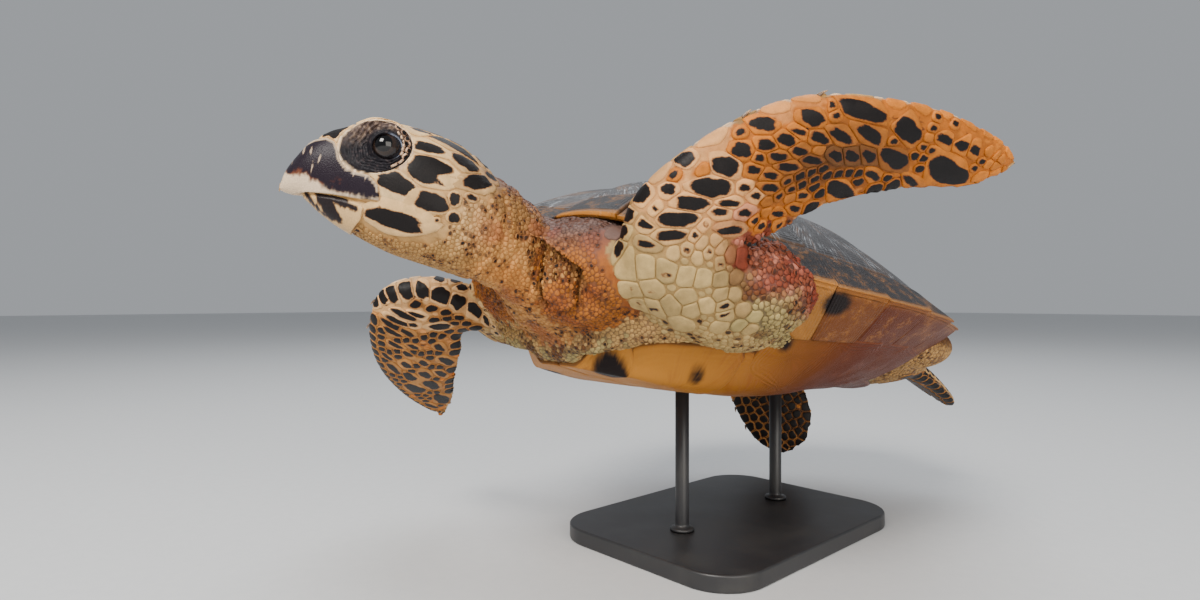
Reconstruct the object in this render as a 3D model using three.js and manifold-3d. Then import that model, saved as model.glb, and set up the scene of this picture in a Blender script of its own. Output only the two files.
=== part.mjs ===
// Hawksbill sea turtle: a life-size still model of a young animal in mid stroke, held up by two rods.
// Millimetres. The floor is z = 0 and the turtle faces -Y, with its left side at +X and its nose a little up.
import * as THREE from "three";
import { mergeVertices } from "three/addons/utils/BufferGeometryUtils.js";
import Module from "manifold-3d";

const wasm = await Module();
wasm.setup();

// ---- driving dimensions ----
const shellLength = 500; // straight, from the nuchal edge to the rearmost marginals
const shellWiden = 1.03; // on the outline below
const domeHeight = 92; // above the plane of the rim
const bellyDepth = 60; // below the plane of the rim
const scuteThickness = 5;
const marginWidth = 0.16; // share of the way from the rim to the middle
const headLength = 124;
const headTurn = -27; // degrees to the turtle's right
const headRaise = 1;
const headTilt = 3.5;
const nape = [18, -290, 48]; // top of the neck behind the skull, on the body's own axes
const eyeRadius = 9.5;
const noseUp = 7.9; // the whole body, degrees
const rimHeight = 205; // middle of the rim's plane above the floor
const rodRadius = 6;
const gap = 0.35; // left between neighbours

// ---- colours ----
const finish = (color, roughness) => new THREE.MeshStandardMaterial({ color, roughness });
const skin = finish(0xb98a4e, 0.7);
const scaleSkin = finish(0x4a3322, 0.6);
const carapace = finish(0x2f3238, 0.45);
const bellyHorn = finish(0xd08a3a, 0.5);
const beakHorn = finish(0x3c2b2b, 0.45);
const eyeGloss = finish(0x0a0a10, 0.1);
const clawHorn = finish(0xcfae78, 0.5);
const blackMetal = finish(0x1b1c1e, 0.5);

// ---- small tools ----
const vec = (x, y, z) => new THREE.Vector3(x, y, z);
const clamp = THREE.MathUtils.clamp;
const radians = THREE.MathUtils.degToRad;

// A smooth run of values through rows [place, value, value...].
function through(rows) {
  return (place) => {
    let k = 0;
    while (k < rows.length - 2 && place > rows[k + 1][0]) k++;
    const before = rows[Math.max(k - 1, 0)];
    const from = rows[k];
    const to = rows[k + 1];
    const after = rows[Math.min(k + 2, rows.length - 1)];
    const step = to[0] - from[0];
    const s = clamp((place - from[0]) / step, 0, 1);
    return from.slice(1).map((value, i) => {
      const start = ((to[i + 1] - before[i + 1]) / (to[0] - before[0])) * step;
      const end = ((after[i + 1] - value) / (after[0] - from[0])) * step;
      return (
        value * (2 * s ** 3 - 3 * s ** 2 + 1) + start * (s ** 3 - 2 * s ** 2 + s) +
        to[i + 1] * (3 * s ** 2 - 2 * s ** 3) + end * (s ** 3 - s ** 2)
      );
    });
  };
}

// A closed three.js geometry as a solid, turned right side out.
function solid(geometry) {
  const bare = geometry.clone();
  bare.deleteAttribute("normal");
  bare.deleteAttribute("uv");
  const merged = mergeVertices(bare, 1e-3);
  const vertProperties = merged.attributes.position.array;
  const build = (triVerts) => new wasm.Manifold(new wasm.Mesh({ numProp: 3, vertProperties, triVerts }));
  const triVerts = new Uint32Array(merged.index.array);
  const made = build(triVerts);
  return made.volume() > 0 ? made : build(triVerts.reverse());
}

// A solid as a named mesh.
function node(name, body, material) {
  const { vertProperties, triVerts } = body.getMesh();
  const geometry = new THREE.BufferGeometry()
    .setAttribute("position", new THREE.BufferAttribute(vertProperties, 3))
    .setIndex(new THREE.BufferAttribute(triVerts, 1));
  const mesh = new THREE.Mesh(geometry, material);
  mesh.name = name;
  return mesh;
}

// The largest of the pieces that a cut leaves.
const largest = (body) => body.decompose().reduce((a, b) => (b.volume() > a.volume() ? b : a));

// A body of rings: place(u, angle) gives each point, and all of ring 0 and ring 1 are one point.
function ringed(place, along, around, evenly = false) {
  const geometry = new THREE.SphereGeometry(1, around, along);
  const { position, uv } = geometry.attributes;
  for (let i = 0; i < position.count; i++) {
    const v = 1 - uv.getY(i);
    const pole = v < 1e-6 || v > 1 - 1e-6;
    const u = evenly ? v : (1 - Math.cos(Math.PI * v)) / 2;
    const angle = pole ? 0 : (Math.round(uv.getX(i) * around) % around) * ((2 * Math.PI) / around);
    position.setXYZ(i, ...place(u, angle).toArray());
  }
  return solid(geometry);
}

// A straight-sided block over an outline in plan.
function prism(outline, low = -200, high = 200) {
  const shape = new THREE.Shape(outline.map(([x, y]) => new THREE.Vector2(x, y)));
  const block = new THREE.ExtrudeGeometry(shape, { depth: high - low, bevelEnabled: false });
  return solid(block.translate(0, 0, low));
}

// An outline moved inwards (or outwards, when distance is negative).
function inset(outline, distance) {
  const turn = Math.sign(THREE.ShapeUtils.area(outline.map(([x, y]) => ({ x, y }))));
  const count = outline.length;
  return outline.map(([x, y], i) => {
    const [ax, ay] = outline[(i + count - 1) % count];
    const [bx, by] = outline[(i + 1) % count];
    const before = vec(x - ax, y - ay, 0).normalize();
    const after = vec(bx - x, by - y, 0).normalize();
    const inward = vec(-before.y - after.y, before.x + after.x, 0).normalize();
    const reach = distance / Math.max(inward.x * -before.y + inward.y * before.x, 0.4);
    return [x + turn * inward.x * reach, y + turn * inward.y * reach];
  });
}

// ---- the shell's form ----
// Half of the rim seen from above, front to rear, in shell lengths.
const halfRim = [
  [0, -0.48], [0.085, -0.497], [0.18, -0.465], [0.265, -0.375], [0.335, -0.235], [0.365, -0.07],
  [0.352, 0.09], [0.3, 0.235], [0.215, 0.355], [0.12, 0.445], [0, 0.505],
];
const middle = [0, -0.04 * shellLength];
const rimPoint = (x, y) => vec(x * shellLength * shellWiden, y * shellLength, 0);
const rimCurve = new THREE.CatmullRomCurve3(
  [
    ...halfRim.map(([x, y]) => rimPoint(x, y)),
    ...halfRim.slice(1, -1).reverse().map(([x, y]) => rimPoint(-x, y)),
  ],
  true,
  "centripetal",
);
// Round the rim from the front (0) by the left side to the rear (0.5) and back; fold gives 0 front to 1 rear.
const fold = (round) => 1 - Math.abs(1 - 2 * round);
const rimZ = (round) => 31 * Math.exp(-(((fold(round) - 0.08) / 0.16) ** 2)) - 9 * (fold(round) - 0.5);

// Half width of the rim at a distance back from the middle.
const rimSamples = Array.from({ length: 101 }, (_, i) => rimCurve.getPointAt(i / 200));
function halfWidth(y) {
  let widest = 1;
  for (let i = 1; i < rimSamples.length; i++) {
    const [a, b] = [rimSamples[i - 1], rimSamples[i]];
    if ((a.y - y) * (b.y - y) <= 0 && a.y !== b.y)
      widest = Math.max(widest, a.x + ((b.x - a.x) * (y - a.y)) / (b.y - a.y));
  }
  return widest;
}

// A point in plan at a share of the way from the middle to the rim.
function plan(share, round) {
  const rim = rimCurve.getPointAt(((round % 1) + 1) % 1);
  return [middle[0] + (rim.x - middle[0]) * share, middle[1] + (rim.y - middle[1]) * share];
}
// The dome is highest over the front third and falls away behind.
function domeZ(share, round) {
  const [, y] = plan(share, round);
  const height = domeHeight - 15 * clamp(y / shellLength / 0.3, 0, 1.4) ** 1.5;
  const fullness = 2.2 + 0.6 * clamp((-y / shellLength - 0.05) / 0.3, 0, 1);
  return rimZ(round) * share ** 2 + height * (1 - share ** fullness) ** 1.14;
}

// The underside: deepest in front of the middle, rising to the rim at the sides and behind.
const bellyZ = (y) => -bellyDepth - 17 * Math.exp(-(((y / shellLength + 0.2) / 0.22) ** 2));
function underZ(share, round) {
  const [x, y] = plan(share, round);
  const sideways = clamp((Math.abs(x) / halfWidth(y) - 0.38) / 0.62, 0, 1) ** 1.75;
  const backwards = clamp((y / shellLength - 0.22) / 0.28, 0, 1) ** 1.4;
  return bellyZ(y) + (rimZ(round) - bellyZ(y)) * Math.max(sideways, backwards);
}

// A body over the shell's plan: rows of [share, height(share, round)], from the middle out and back.
function dish(rows, around) {
  return ringed((u, angle) => {
    const [share, height] = rows[Math.round(u * (rows.length - 1))];
    const round = angle / (2 * Math.PI);
    const [x, y] = plan(share, round);
    return vec(x, y, height(Math.min(share, 1), round));
  }, rows.length - 1, around, true);
}

// Hawksbill's saw edge: each of the rear marginals ends in a point.
const marginals = 12;
const saw = (round) => {
  const place = fold(round) * marginals;
  const point = place - Math.floor(place + 1e-6);
  return 1 + 0.05 * clamp((fold(round) - 0.45) / 0.3, 0, 1) * (point < 0.05 ? 1 : point - 0.5);
};

const inner = 1 - marginWidth; // share at which the marginals begin
const marginUnder = (share, round) => {
  const wedge = domeZ(share, round) - 4 - 110 * (1 - share);
  const bridge = Math.exp(-(((fold(round) - 0.47) / 0.2) ** 4));
  return Math.max(underZ(share, round), wedge - 60 * bridge);
};
const rimSides = 48;
const rimRadius = 150; // about half the shell's width: a share of it turns a gap into a share of the plan
const ringOutline = (share) => Array.from({ length: rimSides }, (_, i) => plan(share, i / rimSides));

function margin(grow) {
  const top = [0, 0.7, inner - 0.02, 0.9, 0.96];
  const up = (share, round) => domeZ(share, round) + grow;
  const down = (share, round) => Math.min(marginUnder(share, round), domeZ(share, round) - 2) - grow;
  const edge = (share, round) => domeZ(1, round) - 1.5;
  const rows = [
    ...top.map((share) => [share, up]), [1 + grow / rimRadius, edge],
    ...[0.95, inner - 0.02, 0.5, 0].map((share) => [share, down]),
  ];
  const lens = ringed((u, angle) => {
    const [share, height] = rows[Math.round(u * (rows.length - 1))];
    const round = angle / (2 * Math.PI);
    const teeth = 1 + (saw(round) - 1) * Math.max((share - 0.9) / 0.1, 0);
    const [x, y] = plan(share * teeth, round);
    return vec(x, y, height(Math.min(share, 1), round));
  }, rows.length - 1, rimSides, true);
  return lens.subtract(prism(ringOutline(inner - grow / rimRadius)));
}

function sheet(top, bottom, shares, around) {
  const over = shares.map((share) => [share, top]);
  const back = shares.toReversed().map((share) => [share, bottom]);
  return dish([...over, ...back], around);
}
const domeShares = [0, 0.32, 0.58, 0.8, 0.93];
const carapaceSheet = (above, below) =>
  sheet(
    (share, round) => domeZ(share, round) + above,
    (share, round) => domeZ(share, round) - below,
    domeShares,
    30,
  );
const withinMargin = prism(ringOutline(inner - gap / rimRadius));
const carapaceLayer = carapaceSheet(0, scuteThickness).intersect(withinMargin);
const plastronThickness = 8;
const underShares = [0, 0.4, 0.65, inner];
const underLayer = (above, below, reach) =>
  sheet(
    (share, round) => underZ(share, round) + above,
    (share, round) => underZ(share, round) - below,
    underShares.map((share) => share * reach),
    28,
  );

// ---- scutes, drawn from above in shell lengths (x to the left side) ----
const scaled = (outline) => outline.map(([x, y]) => [x * shellLength, y * shellLength]);
const mirrored = (outline) => outline.map(([x, y]) => [-x, y]).reverse();
const edgeRow = (from, to, steps = 3) =>
  Array.from({ length: steps + 1 }, (_, i) => plan(inner + 0.06, from + ((to - from) * i) / steps));

// Seams across the back: where each vertebral meets the next, and its side corners, where costals meet it.
const seamY = [-0.272, -0.09, 0.098, 0.27];
const seamHalf = [0.068, 0.066, 0.062, 0.055];
const cornerY = [-0.35, -0.178, 0.006, 0.186, 0.345];
const cornerHalf = [0.118, 0.128, 0.13, 0.118, 0.1];
const seamRound = [0.055, 0.162, 0.243, 0.322, 0.452]; // where those corners' seams meet the marginals

const vertebralOutlines = cornerY.map((y, i) => {
  const front = i > 0 ? [[seamHalf[i - 1], seamY[i - 1]]] : [];
  const rear = i < 4 ? [[seamHalf[i], seamY[i]]] : [];
  const left = scaled([...front, [cornerHalf[i], y], ...rear]);
  const nose = i === 0 ? edgeRow(-seamRound[0], seamRound[0]) : [];
  const tail = i === 4 ? edgeRow(seamRound[4], 1 - seamRound[4]) : [];
  return [...nose, ...left, ...tail, ...mirrored(left)];
});
const costalOutlines = [0, 1, 2, 3].map((i) => [
  ...scaled([[cornerHalf[i + 1], cornerY[i + 1]], [seamHalf[i], seamY[i]], [cornerHalf[i], cornerY[i]]]),
  ...edgeRow(seamRound[i], seamRound[i + 1]),
]);

const turtle = new THREE.Group();
const seam = gap / 2;
const cutScute = (outline) => carapaceLayer.intersect(prism(inset(outline, seam)));
const nuchalSide = [[36, -400], [30, -150]];
const nuchalOutline = [...nuchalSide, ...mirrored(nuchalSide)];
turtle.add(node("nuchal_scute", margin(0).intersect(prism(inset(nuchalOutline, seam))), carapace));
vertebralOutlines.forEach((outline, i) =>
  turtle.add(node(`vertebral_scute_${i + 1}`, cutScute(outline), carapace)));
costalOutlines.forEach((outline, i) => {
  turtle.add(node(`costal_scute_left_${i + 1}`, cutScute(outline), carapace));
  turtle.add(node(`costal_scute_right_${i + 1}`, cutScute(mirrored(outline)), carapace));
});
const leftSide = [[36, -400], [400, -400], [400, 400], [0, 400], [0, 0], [30, -150]];
turtle.add(node("marginals_left", margin(0).intersect(prism(inset(leftSide, seam))), carapace));
turtle.add(node("marginals_right", margin(0).intersect(prism(inset(mirrored(leftSide), seam))), carapace));

// ---- plastron and bridges ----
const plastronSide = [
  [0.035, -0.405], [0.1, -0.365], [0.165, -0.275], [0.2, -0.175], [0.21, -0.1], [0.21, 0.1],
  [0.19, 0.17], [0.155, 0.25], [0.09, 0.325], [0.03, 0.352],
];
const plastronOutline = [...scaled(plastronSide), ...mirrored(scaled(plastronSide))];
const bridgeOutline = [
  ...scaled([[0.21, 0.1], [0.21, -0.1]]),
  ...Array.from({ length: 7 }, (_, i) => plan(inner - gap / 300, 0.185 + (0.13 * i) / 6)),
];
const under = underLayer(plastronThickness, 0, 1 - gap / 100);
turtle.add(node("plastron", under.intersect(prism(inset(plastronOutline, seam))), bellyHorn));
turtle.add(node("bridge_left", under.intersect(prism(inset(bridgeOutline, seam))), bellyHorn));
turtle.add(node("bridge_right", under.intersect(prism(inset(mirrored(bridgeOutline), seam))), bellyHorn));

const bellyBlock = prism(inset(plastronOutline, -gap))
  .add(prism(inset(bridgeOutline, -gap)))
  .add(prism(inset(mirrored(bridgeOutline), -gap)));
// Everything of horn, a little larger, to cut the flesh clear of it.
const hornRoom = carapaceSheet(40, scuteThickness + gap)
  .add(margin(gap))
  .add(underLayer(plastronThickness + gap, gap, 1).intersect(bellyBlock));

// ---- head and neck: one form from the beak's tip into the chest ----
const turnHead = new THREE.Quaternion().setFromEuler(
  new THREE.Euler(radians(-headRaise), radians(headTilt), radians(headTurn), "ZXY"));
// Along the head, from the nape forwards: top and bottom against the nape, half width, squareness.
const headForm = through([
  [0, 3, -66, 29, 1], [12, 12.5, -65, 29.5, 1], [26, 19, -63, 30.5, 0.95], [40, 22, -60.5, 31, 0.9],
  [54, 23.5, -58, 29.5, 0.9], [67, 24, -54, 26.5, 0.9], [80, 21.5, -49, 22.5, 0.9], [91, 16, -44, 19, 0.9],
  [101, 11, -38, 16, 0.9], [110, 2.5, -31.5, 12.5, 0.9], [117, -8, -30, 8.5, 1], [122, -18, -29, 4.5, 1],
  [headLength, -27, -28, 1, 1],
]);
function headRing(ahead) {
  const [top, bottom, half, square] = headForm(ahead);
  return { centre: vec(0, -ahead, (top + bottom) / 2), half, high: (top - bottom) / 2, square };
}
// Along the neck, from the chest to the nape: middle line, half width, half height.
const skullBack = vec(0, 0, -31.5).applyQuaternion(turnHead).add(vec(...nape));
const neckForm = through([
  [0, 0, -165, -12, 70, 36], [0.25, 1, -205, -12, 66, 40], [0.45, 4, -230, -6, 52, 38.5],
  [0.62, 9, -250, 1, 42, 36.5], [0.8, 15, -270, 11, 34, 35], [1, ...skullBack.toArray(), 29, 34.5],
]);
const neckShare = 0.42; // of the rings
function headNeck(grow) {
  return ringed((u, angle) => {
    const across = Math.cos(angle);
    const upwards = Math.sin(angle);
    const blunt = Math.sqrt(1 - Math.abs(2 * u - 1) ** 16);
    if (u < neckShare) {
      const along = u / neckShare;
      const [x, y, z, half, high] = neckForm(along);
      const turn = new THREE.Quaternion().slerp(turnHead, along ** 1.5);
      const end = Math.min(1, blunt * 1.2);
      const back = 2 * grow * (1 - along) ** 5;
      return vec(across * (half * end + grow), back, upwards * (high * end + grow))
        .applyQuaternion(turn).add(vec(x, y, z));
    }
    const { centre, half, high, square } = headRing(((u - neckShare) / (1 - neckShare)) * headLength);
    const round = (value) => Math.sign(value) * Math.abs(value) ** square;
    return centre
      .add(vec(round(across) * (half + grow), 0, round(upwards) * (high + grow)))
      .applyQuaternion(turnHead)
      .add(vec(...nape));
  }, 25, 14);
}
// A block that covers a stretch of the head, seen from its side: points are [ahead, up] from the nape.
function sideBlock(outline, half = 60) {
  const shape = new THREE.Shape(outline.map(([ahead, up]) => new THREE.Vector2(ahead, up)));
  const block = new THREE.ExtrudeGeometry(shape, { depth: 2 * half, bevelEnabled: false });
  block.translate(0, 0, -half).rotateX(Math.PI / 2).rotateZ(-Math.PI / 2);
  return solid(block.applyQuaternion(turnHead).translate(...nape));
}
const eyeAt = { ahead: 66, side: 18.5, up: 4.5 };
function eyeball(side, radius) {
  const ball = new THREE.SphereGeometry(radius, 10, 8).rotateX(Math.PI / 2);
  ball.translate(side * eyeAt.side, -eyeAt.ahead, eyeAt.up);
  return solid(ball.applyQuaternion(turnHead).translate(...nape));
}
// The beak's cutting edge and the mouth line, from the beak's tip back to the corner of the jaws.
const beakLine = [[109, -27.5], [94, -28], [76, -29], [67, -29]];
const mouthLine = [...beakLine, [54, -28], [42, -25], [29, -24.5]];
const beakEdge = [
  [68, -22], [76, -14], [87, -9.5], [92, 0], [103, 2.5], [109, 0], [116, 6], [135, 6],
];
const upperBeakShape = [...beakLine, ...beakEdge, [135, -50], [109, -50]];
const jawShape = [...mouthLine, [22, -31], [27, -43], [60, -50], [85, -49.5], [100, -46], [109, -44]];
const whole = headNeck(0);
const sockets = eyeball(1, eyeRadius + gap).add(eyeball(-1, eyeRadius + gap));
const headBlock = sideBlock([[gap, -150], [200, -150], [200, 150], [gap, 150]], 200);
const upperBeak = whole.intersect(sideBlock(inset(upperBeakShape, seam)));
const lowerJaw = whole.intersect(sideBlock(inset(jawShape, seam)));
const head = largest(whole.intersect(headBlock)
  .subtract(sideBlock(inset(upperBeakShape, -seam)))
  .subtract(sideBlock(inset(jawShape, -seam)))
  .subtract(sockets));
turtle.add(node("head", head, scaleSkin));
turtle.add(node("upper_beak", largest(upperBeak), beakHorn));
turtle.add(node("lower_jaw", largest(lowerJaw), beakHorn));
turtle.add(node("eye_left", eyeball(1, eyeRadius), eyeGloss));
turtle.add(node("eye_right", eyeball(-1, eyeRadius), eyeGloss));

// ---- flippers: a leading and a trailing edge, and a thickness between them ----
// Each row: share of the length, leading edge x y z, trailing edge x y z, half thickness.
function flipper(rows, grow, along, around) {
  const form = through(rows);
  return ringed((u, angle) => {
    const at = form(u);
    const lead = vec(at[0], at[1], at[2]);
    const trail = vec(at[3], at[4], at[5]);
    const next = form(Math.min(u + 0.02, 1));
    const last = form(Math.max(u - 0.02, 0));
    const run = vec(next[0] + next[3] - last[0] - last[3], next[1] + next[4] - last[1] - last[4],
      next[2] + next[5] - last[2] - last[5]);
    const chord = trail.clone().sub(lead);
    const up = chord.clone().cross(run).normalize();
    const blunt = Math.sqrt(1 - Math.abs(2 * u - 1) ** 9);
    const c = Math.cos(angle);
    const thin = 1 - 0.45 * c * clamp((u - 0.25) / 0.3, 0, 1);
    const reach = (chord.length() / 2) * blunt + grow;
    const rise = (at[6] * blunt * thin + grow) * Math.sin(angle);
    return lead.add(trail).multiplyScalar(0.5)
      .addScaledVector(chord.normalize(), reach * c)
      .addScaledVector(up, rise)
      .addScaledVector(run.normalize(), 2 * grow * (2 * u - 1) ** 5);
  }, along, around);
}
const frontLeft = [
  [0, 88, -160, -42, 140, -100, -36, 25], [0.14, 88, -226, -14, 146, -152, -14, 25],
  [0.28, 103, -251, 27, 149, -188, 14, 20], [0.42, 143, -243, 64, 158, -173, 29, 14],
  [0.57, 187, -205, 97, 178, -141, 52, 10], [0.74, 223, -133, 110, 203, -97, 68, 7],
  [0.9, 246, -68, 107, 229, -56, 77, 4.5], [1, 253, -42, 101, 247, -34, 89, 3],
];
const frontRight = [
  [0, -112, -118, -10, -98, -120, -50, 22], [0.14, -100, -198, -14, -90, -176, -55, 22],
  [0.28, -94, -252, -6, -92, -212, -46, 17], [0.42, -113, -289, -19, -104, -221, -48, 13],
  [0.57, -142, -287, -45, -122, -209, -63, 10], [0.74, -182, -257, -79, -161, -188, -86, 7],
  [0.9, -218, -208, -110, -200, -161, -108, 4.5], [1, -241, -157, -134, -231, -140, -126, 3],
];
const hindLeft = [
  [0, 96, 120, -26, 60, 150, -16, 16], [0.3, 100, 168, -34, 56, 190, -22, 13],
  [0.6, 106, 218, -46, 52, 238, -34, 8], [0.85, 109, 258, -62, 66, 272, -52, 5],
  [1, 108, 278, -72, 84, 282, -66, 3.5],
];
const hindRight = [
  [0, -118, 128, -24, -62, 160, -18, 16], [0.3, -126, 150, -44, -52, 196, -40, 13],
  [0.6, -108, 168, -96, -32, 212, -84, 8], [0.85, -88, 184, -131, -30, 212, -120, 5],
  [1, -68, 196, -149, -42, 210, -141, 3.5],
];

// Claws on the leading edges: a short cone that points outwards and towards the tip.
const clawLength = 7;
const clawRadius = 2.2;
const clawRoot = 3; // of its length is sunk in the flipper
function claw(rows, share, grow) {
  const at = through(rows)(share);
  const ahead = through(rows)(share + 0.05);
  const lead = vec(at[0], at[1], at[2]);
  const outwards = lead.clone().sub(vec(at[3], at[4], at[5])).normalize();
  const along = vec(ahead[0], ahead[1], ahead[2]).sub(lead).normalize();
  const way = outwards.add(along).normalize();
  const cone = new THREE.ConeGeometry(clawRadius + grow, clawLength + 2 * grow, 6);
  cone.applyQuaternion(new THREE.Quaternion().setFromUnitVectors(vec(0, 1, 0), way));
  return solid(cone.translate(...lead.addScaledVector(way, clawLength / 2 - clawRoot).toArray()));
}

// Each limb is parted at its elbow or knee, and its two claws are at shares of its length.
const elbow = 0.42;
const front = { parts: ["arm", "blade"], claws: [0.5, 0.6], rings: 15 };
const hind = { parts: ["thigh", "foot"], claws: [0.62, 0.76], rings: 9 };
const limbs = [
  { name: "front_flipper_left", rows: frontLeft, ...front },
  { name: "front_flipper_right", rows: frontRight, ...front },
  { name: "hind_flipper_left", rows: hindLeft, ...hind },
  { name: "hind_flipper_right", rows: hindRight, ...hind },
];

// A big block whose face crosses a limb square to its run, with the limb's tip side inside.
function beyond(rows, share, offset) {
  const at = through(rows)(share);
  const next = through(rows)(share + 0.03);
  const centre = (row) => vec(row[0] + row[3], row[1] + row[4], row[2] + row[5]).multiplyScalar(0.5);
  const way = centre(next).sub(centre(at)).normalize();
  const side = 700;
  const block = new THREE.BoxGeometry(side, side, side).translate(0, 0, side / 2 + offset);
  block.applyQuaternion(new THREE.Quaternion().setFromUnitVectors(vec(0, 0, 1), way));
  return solid(block.translate(...centre(at).toArray()));
}

let limbRoom = null;
for (const { name, rows, parts, claws, rings } of limbs) {
  let flesh = flipper(rows, 0, rings, 10).subtract(hornRoom);
  claws.forEach((share, i) => {
    flesh = flesh.subtract(claw(rows, share, gap));
    turtle.add(node(`${name}_claw_${i + 1}`, claw(rows, share, 0), clawHorn));
  });
  flesh = largest(flesh);
  const root = largest(flesh.subtract(beyond(rows, elbow, -seam)));
  const tip = largest(flesh.intersect(beyond(rows, elbow, seam)));
  turtle.add(node(`${name}_${parts[0]}`, root, scaleSkin));
  turtle.add(node(`${name}_${parts[1]}`, tip, scaleSkin));
  const room = flipper(rows, 2 * gap, rings, 10);
  limbRoom = limbRoom ? limbRoom.add(room) : room;
}

// ---- neck, tail and trunk ----
const neck = largest(headNeck(0)
  .subtract(sideBlock([[-gap / 4, -150], [200, -150], [200, 150], [-gap / 4, 150]], 200))
  .subtract(hornRoom)
  .subtract(limbRoom));
turtle.add(node("neck", neck, skin));

const tailForm = through([
  [0, 170, -36, 17, 13], [0.4, 205, -40, 14, 11], [0.75, 238, -46, 8, 7], [1, 262, -52, 3, 3],
]);
function tail(grow) {
  return ringed((u, angle) => {
    const [y, z, half, high] = tailForm(u);
    const blunt = Math.sqrt(1 - Math.abs(2 * u - 1) ** 10);
    const fore = y + 2 * grow * (2 * u - 1) ** 5;
    return vec(Math.cos(angle) * (half * blunt + grow), fore, z + Math.sin(angle) * (high * blunt + grow));
  }, 8, 10);
}
turtle.add(node("tail", largest(tail(0).subtract(hornRoom)), scaleSkin));

// The trunk: a core clear of the shell, and the shoulders and hips that fill its front and rear openings.
const swell = (x, y, z, at) => solid(new THREE.SphereGeometry(1, 14, 8).scale(x, y, z).translate(0, ...at));
const shoulders = swell(142, 74, 50, [-160, -18]);
const hips = swell(118, 74, 34, [160, -26]);
const core = sheet((share, round) => domeZ(share, round) - scuteThickness - 6,
  (share, round) => underZ(share, round) + plastronThickness + 8, [0, 0.4, 0.8], 16);
const flesh = core.add(shoulders.add(hips).subtract(hornRoom));
const trunk = largest(flesh.subtract(limbRoom).subtract(headNeck(gap)).subtract(tail(gap)));
turtle.add(node("trunk", trunk, skin));

turtle.position.set(0, 0, rimHeight);
turtle.rotation.x = radians(-noseUp);

// ---- display stand: a flat base and two rods up to sockets in the plastron ----
const baseLength = 270;
const baseWidth = 200;
const baseThickness = 14;
const baseBevel = 2;
const rodAt = [-70, 75];
const model = new THREE.Group();
model.add(turtle);

const corner = 40;
const baseShape = new THREE.Shape();
const hx = baseWidth / 2 - baseBevel;
const hy = baseLength / 2 - baseBevel;
baseShape.moveTo(hx, -hy + corner);
baseShape.absarc(hx - corner, hy - corner, corner, 0, Math.PI / 2, false);
baseShape.absarc(-hx + corner, hy - corner, corner, Math.PI / 2, Math.PI, false);
baseShape.absarc(-hx + corner, -hy + corner, corner, Math.PI, 1.5 * Math.PI, false);
baseShape.absarc(hx - corner, -hy + corner, corner, 1.5 * Math.PI, 2 * Math.PI, false);
const base = new THREE.ExtrudeGeometry(baseShape, {
  depth: baseThickness - 2 * baseBevel,
  bevelSize: baseBevel,
  bevelThickness: baseBevel,
  bevelSegments: 1,
  curveSegments: 3,
}).translate(0, 0, baseBevel);
model.add(node("stand_base", solid(base), blackMetal));

// Each rod runs up to the plastron and is cut to its slope, so it is made on the body's own axes.
turtle.updateMatrixWorld(true);
const ontoBody = turtle.matrixWorld.clone().invert();
const bellyRoom = underLayer(100, gap, 1);
rodAt.forEach((y, i) => {
  const rod = new THREE.CylinderGeometry(rodRadius, rodRadius, rimHeight - baseThickness - gap, 16);
  rod.rotateX(Math.PI / 2).translate(0, y, (rimHeight + baseThickness + gap) / 2);
  const cut = largest(solid(rod.applyMatrix4(ontoBody)).subtract(bellyRoom));
  turtle.add(node(`stand_rod_${i === 0 ? "front" : "rear"}`, cut, blackMetal));
});

export default model;
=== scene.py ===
# A hawksbill sea turtle, life size, swimming: horn shell and beak over one scaled skin, on a black
# metal stand. It is modelled in millimetres on its own axes (nose along -Y, left side at +X), and
# each piece is set on the stand and turned into metres last.
import math

import bmesh
import bpy
import numpy as np
from mathutils import Matrix, Vector, noise
from mathutils.bvhtree import BVHTree
from mathutils.kdtree import KDTree


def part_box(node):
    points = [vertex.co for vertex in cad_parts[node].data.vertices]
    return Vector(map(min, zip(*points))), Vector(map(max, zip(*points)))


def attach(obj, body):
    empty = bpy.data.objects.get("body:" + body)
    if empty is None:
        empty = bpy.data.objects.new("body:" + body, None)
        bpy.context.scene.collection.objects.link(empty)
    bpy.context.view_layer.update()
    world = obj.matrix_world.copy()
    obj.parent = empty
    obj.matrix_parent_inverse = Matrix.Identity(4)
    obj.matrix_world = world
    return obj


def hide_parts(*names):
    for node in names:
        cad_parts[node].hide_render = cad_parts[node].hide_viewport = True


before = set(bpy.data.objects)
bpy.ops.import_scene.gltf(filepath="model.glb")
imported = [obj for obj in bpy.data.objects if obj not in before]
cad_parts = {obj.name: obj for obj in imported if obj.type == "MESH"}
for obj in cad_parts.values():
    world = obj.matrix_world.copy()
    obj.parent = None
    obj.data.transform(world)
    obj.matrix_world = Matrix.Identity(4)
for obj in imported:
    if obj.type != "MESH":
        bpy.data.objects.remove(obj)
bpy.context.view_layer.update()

# ---- camera ----
# Level and wide-angle, close in front of the left shoulder and lower than the head, so that the
# near flipper and the head look large.
camera_at = (0.3979, -0.5391, 0.2149)
camera_azimuth = 47
camera = bpy.data.objects.new("camera", bpy.data.cameras.new("camera"))
camera.data.lens = 21
camera.data.sensor_width = 36
camera.data.clip_start = 0.01
camera.location = camera_at
camera.rotation_euler = (math.radians(90), 0, math.radians(camera_azimuth))
bpy.context.scene.collection.objects.link(camera)
bpy.context.scene.camera = camera


# ---- floor and studio light ----
# A pale matte floor and a soft grey-blue surround, with a large warm key, a cool light overhead
# and a warm fill on the near side. They light the model and are no part of it.
def material_named(name, roughness, **sockets):
    made = bpy.data.materials.new(name)
    made.use_nodes = True
    shader = made.node_tree.nodes["Principled BSDF"]
    shader.inputs["Roughness"].default_value = roughness
    for socket, value in sockets.items():
        shader.inputs[socket.replace("_", " ")].default_value = value
    return made, made.node_tree, shader


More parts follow.
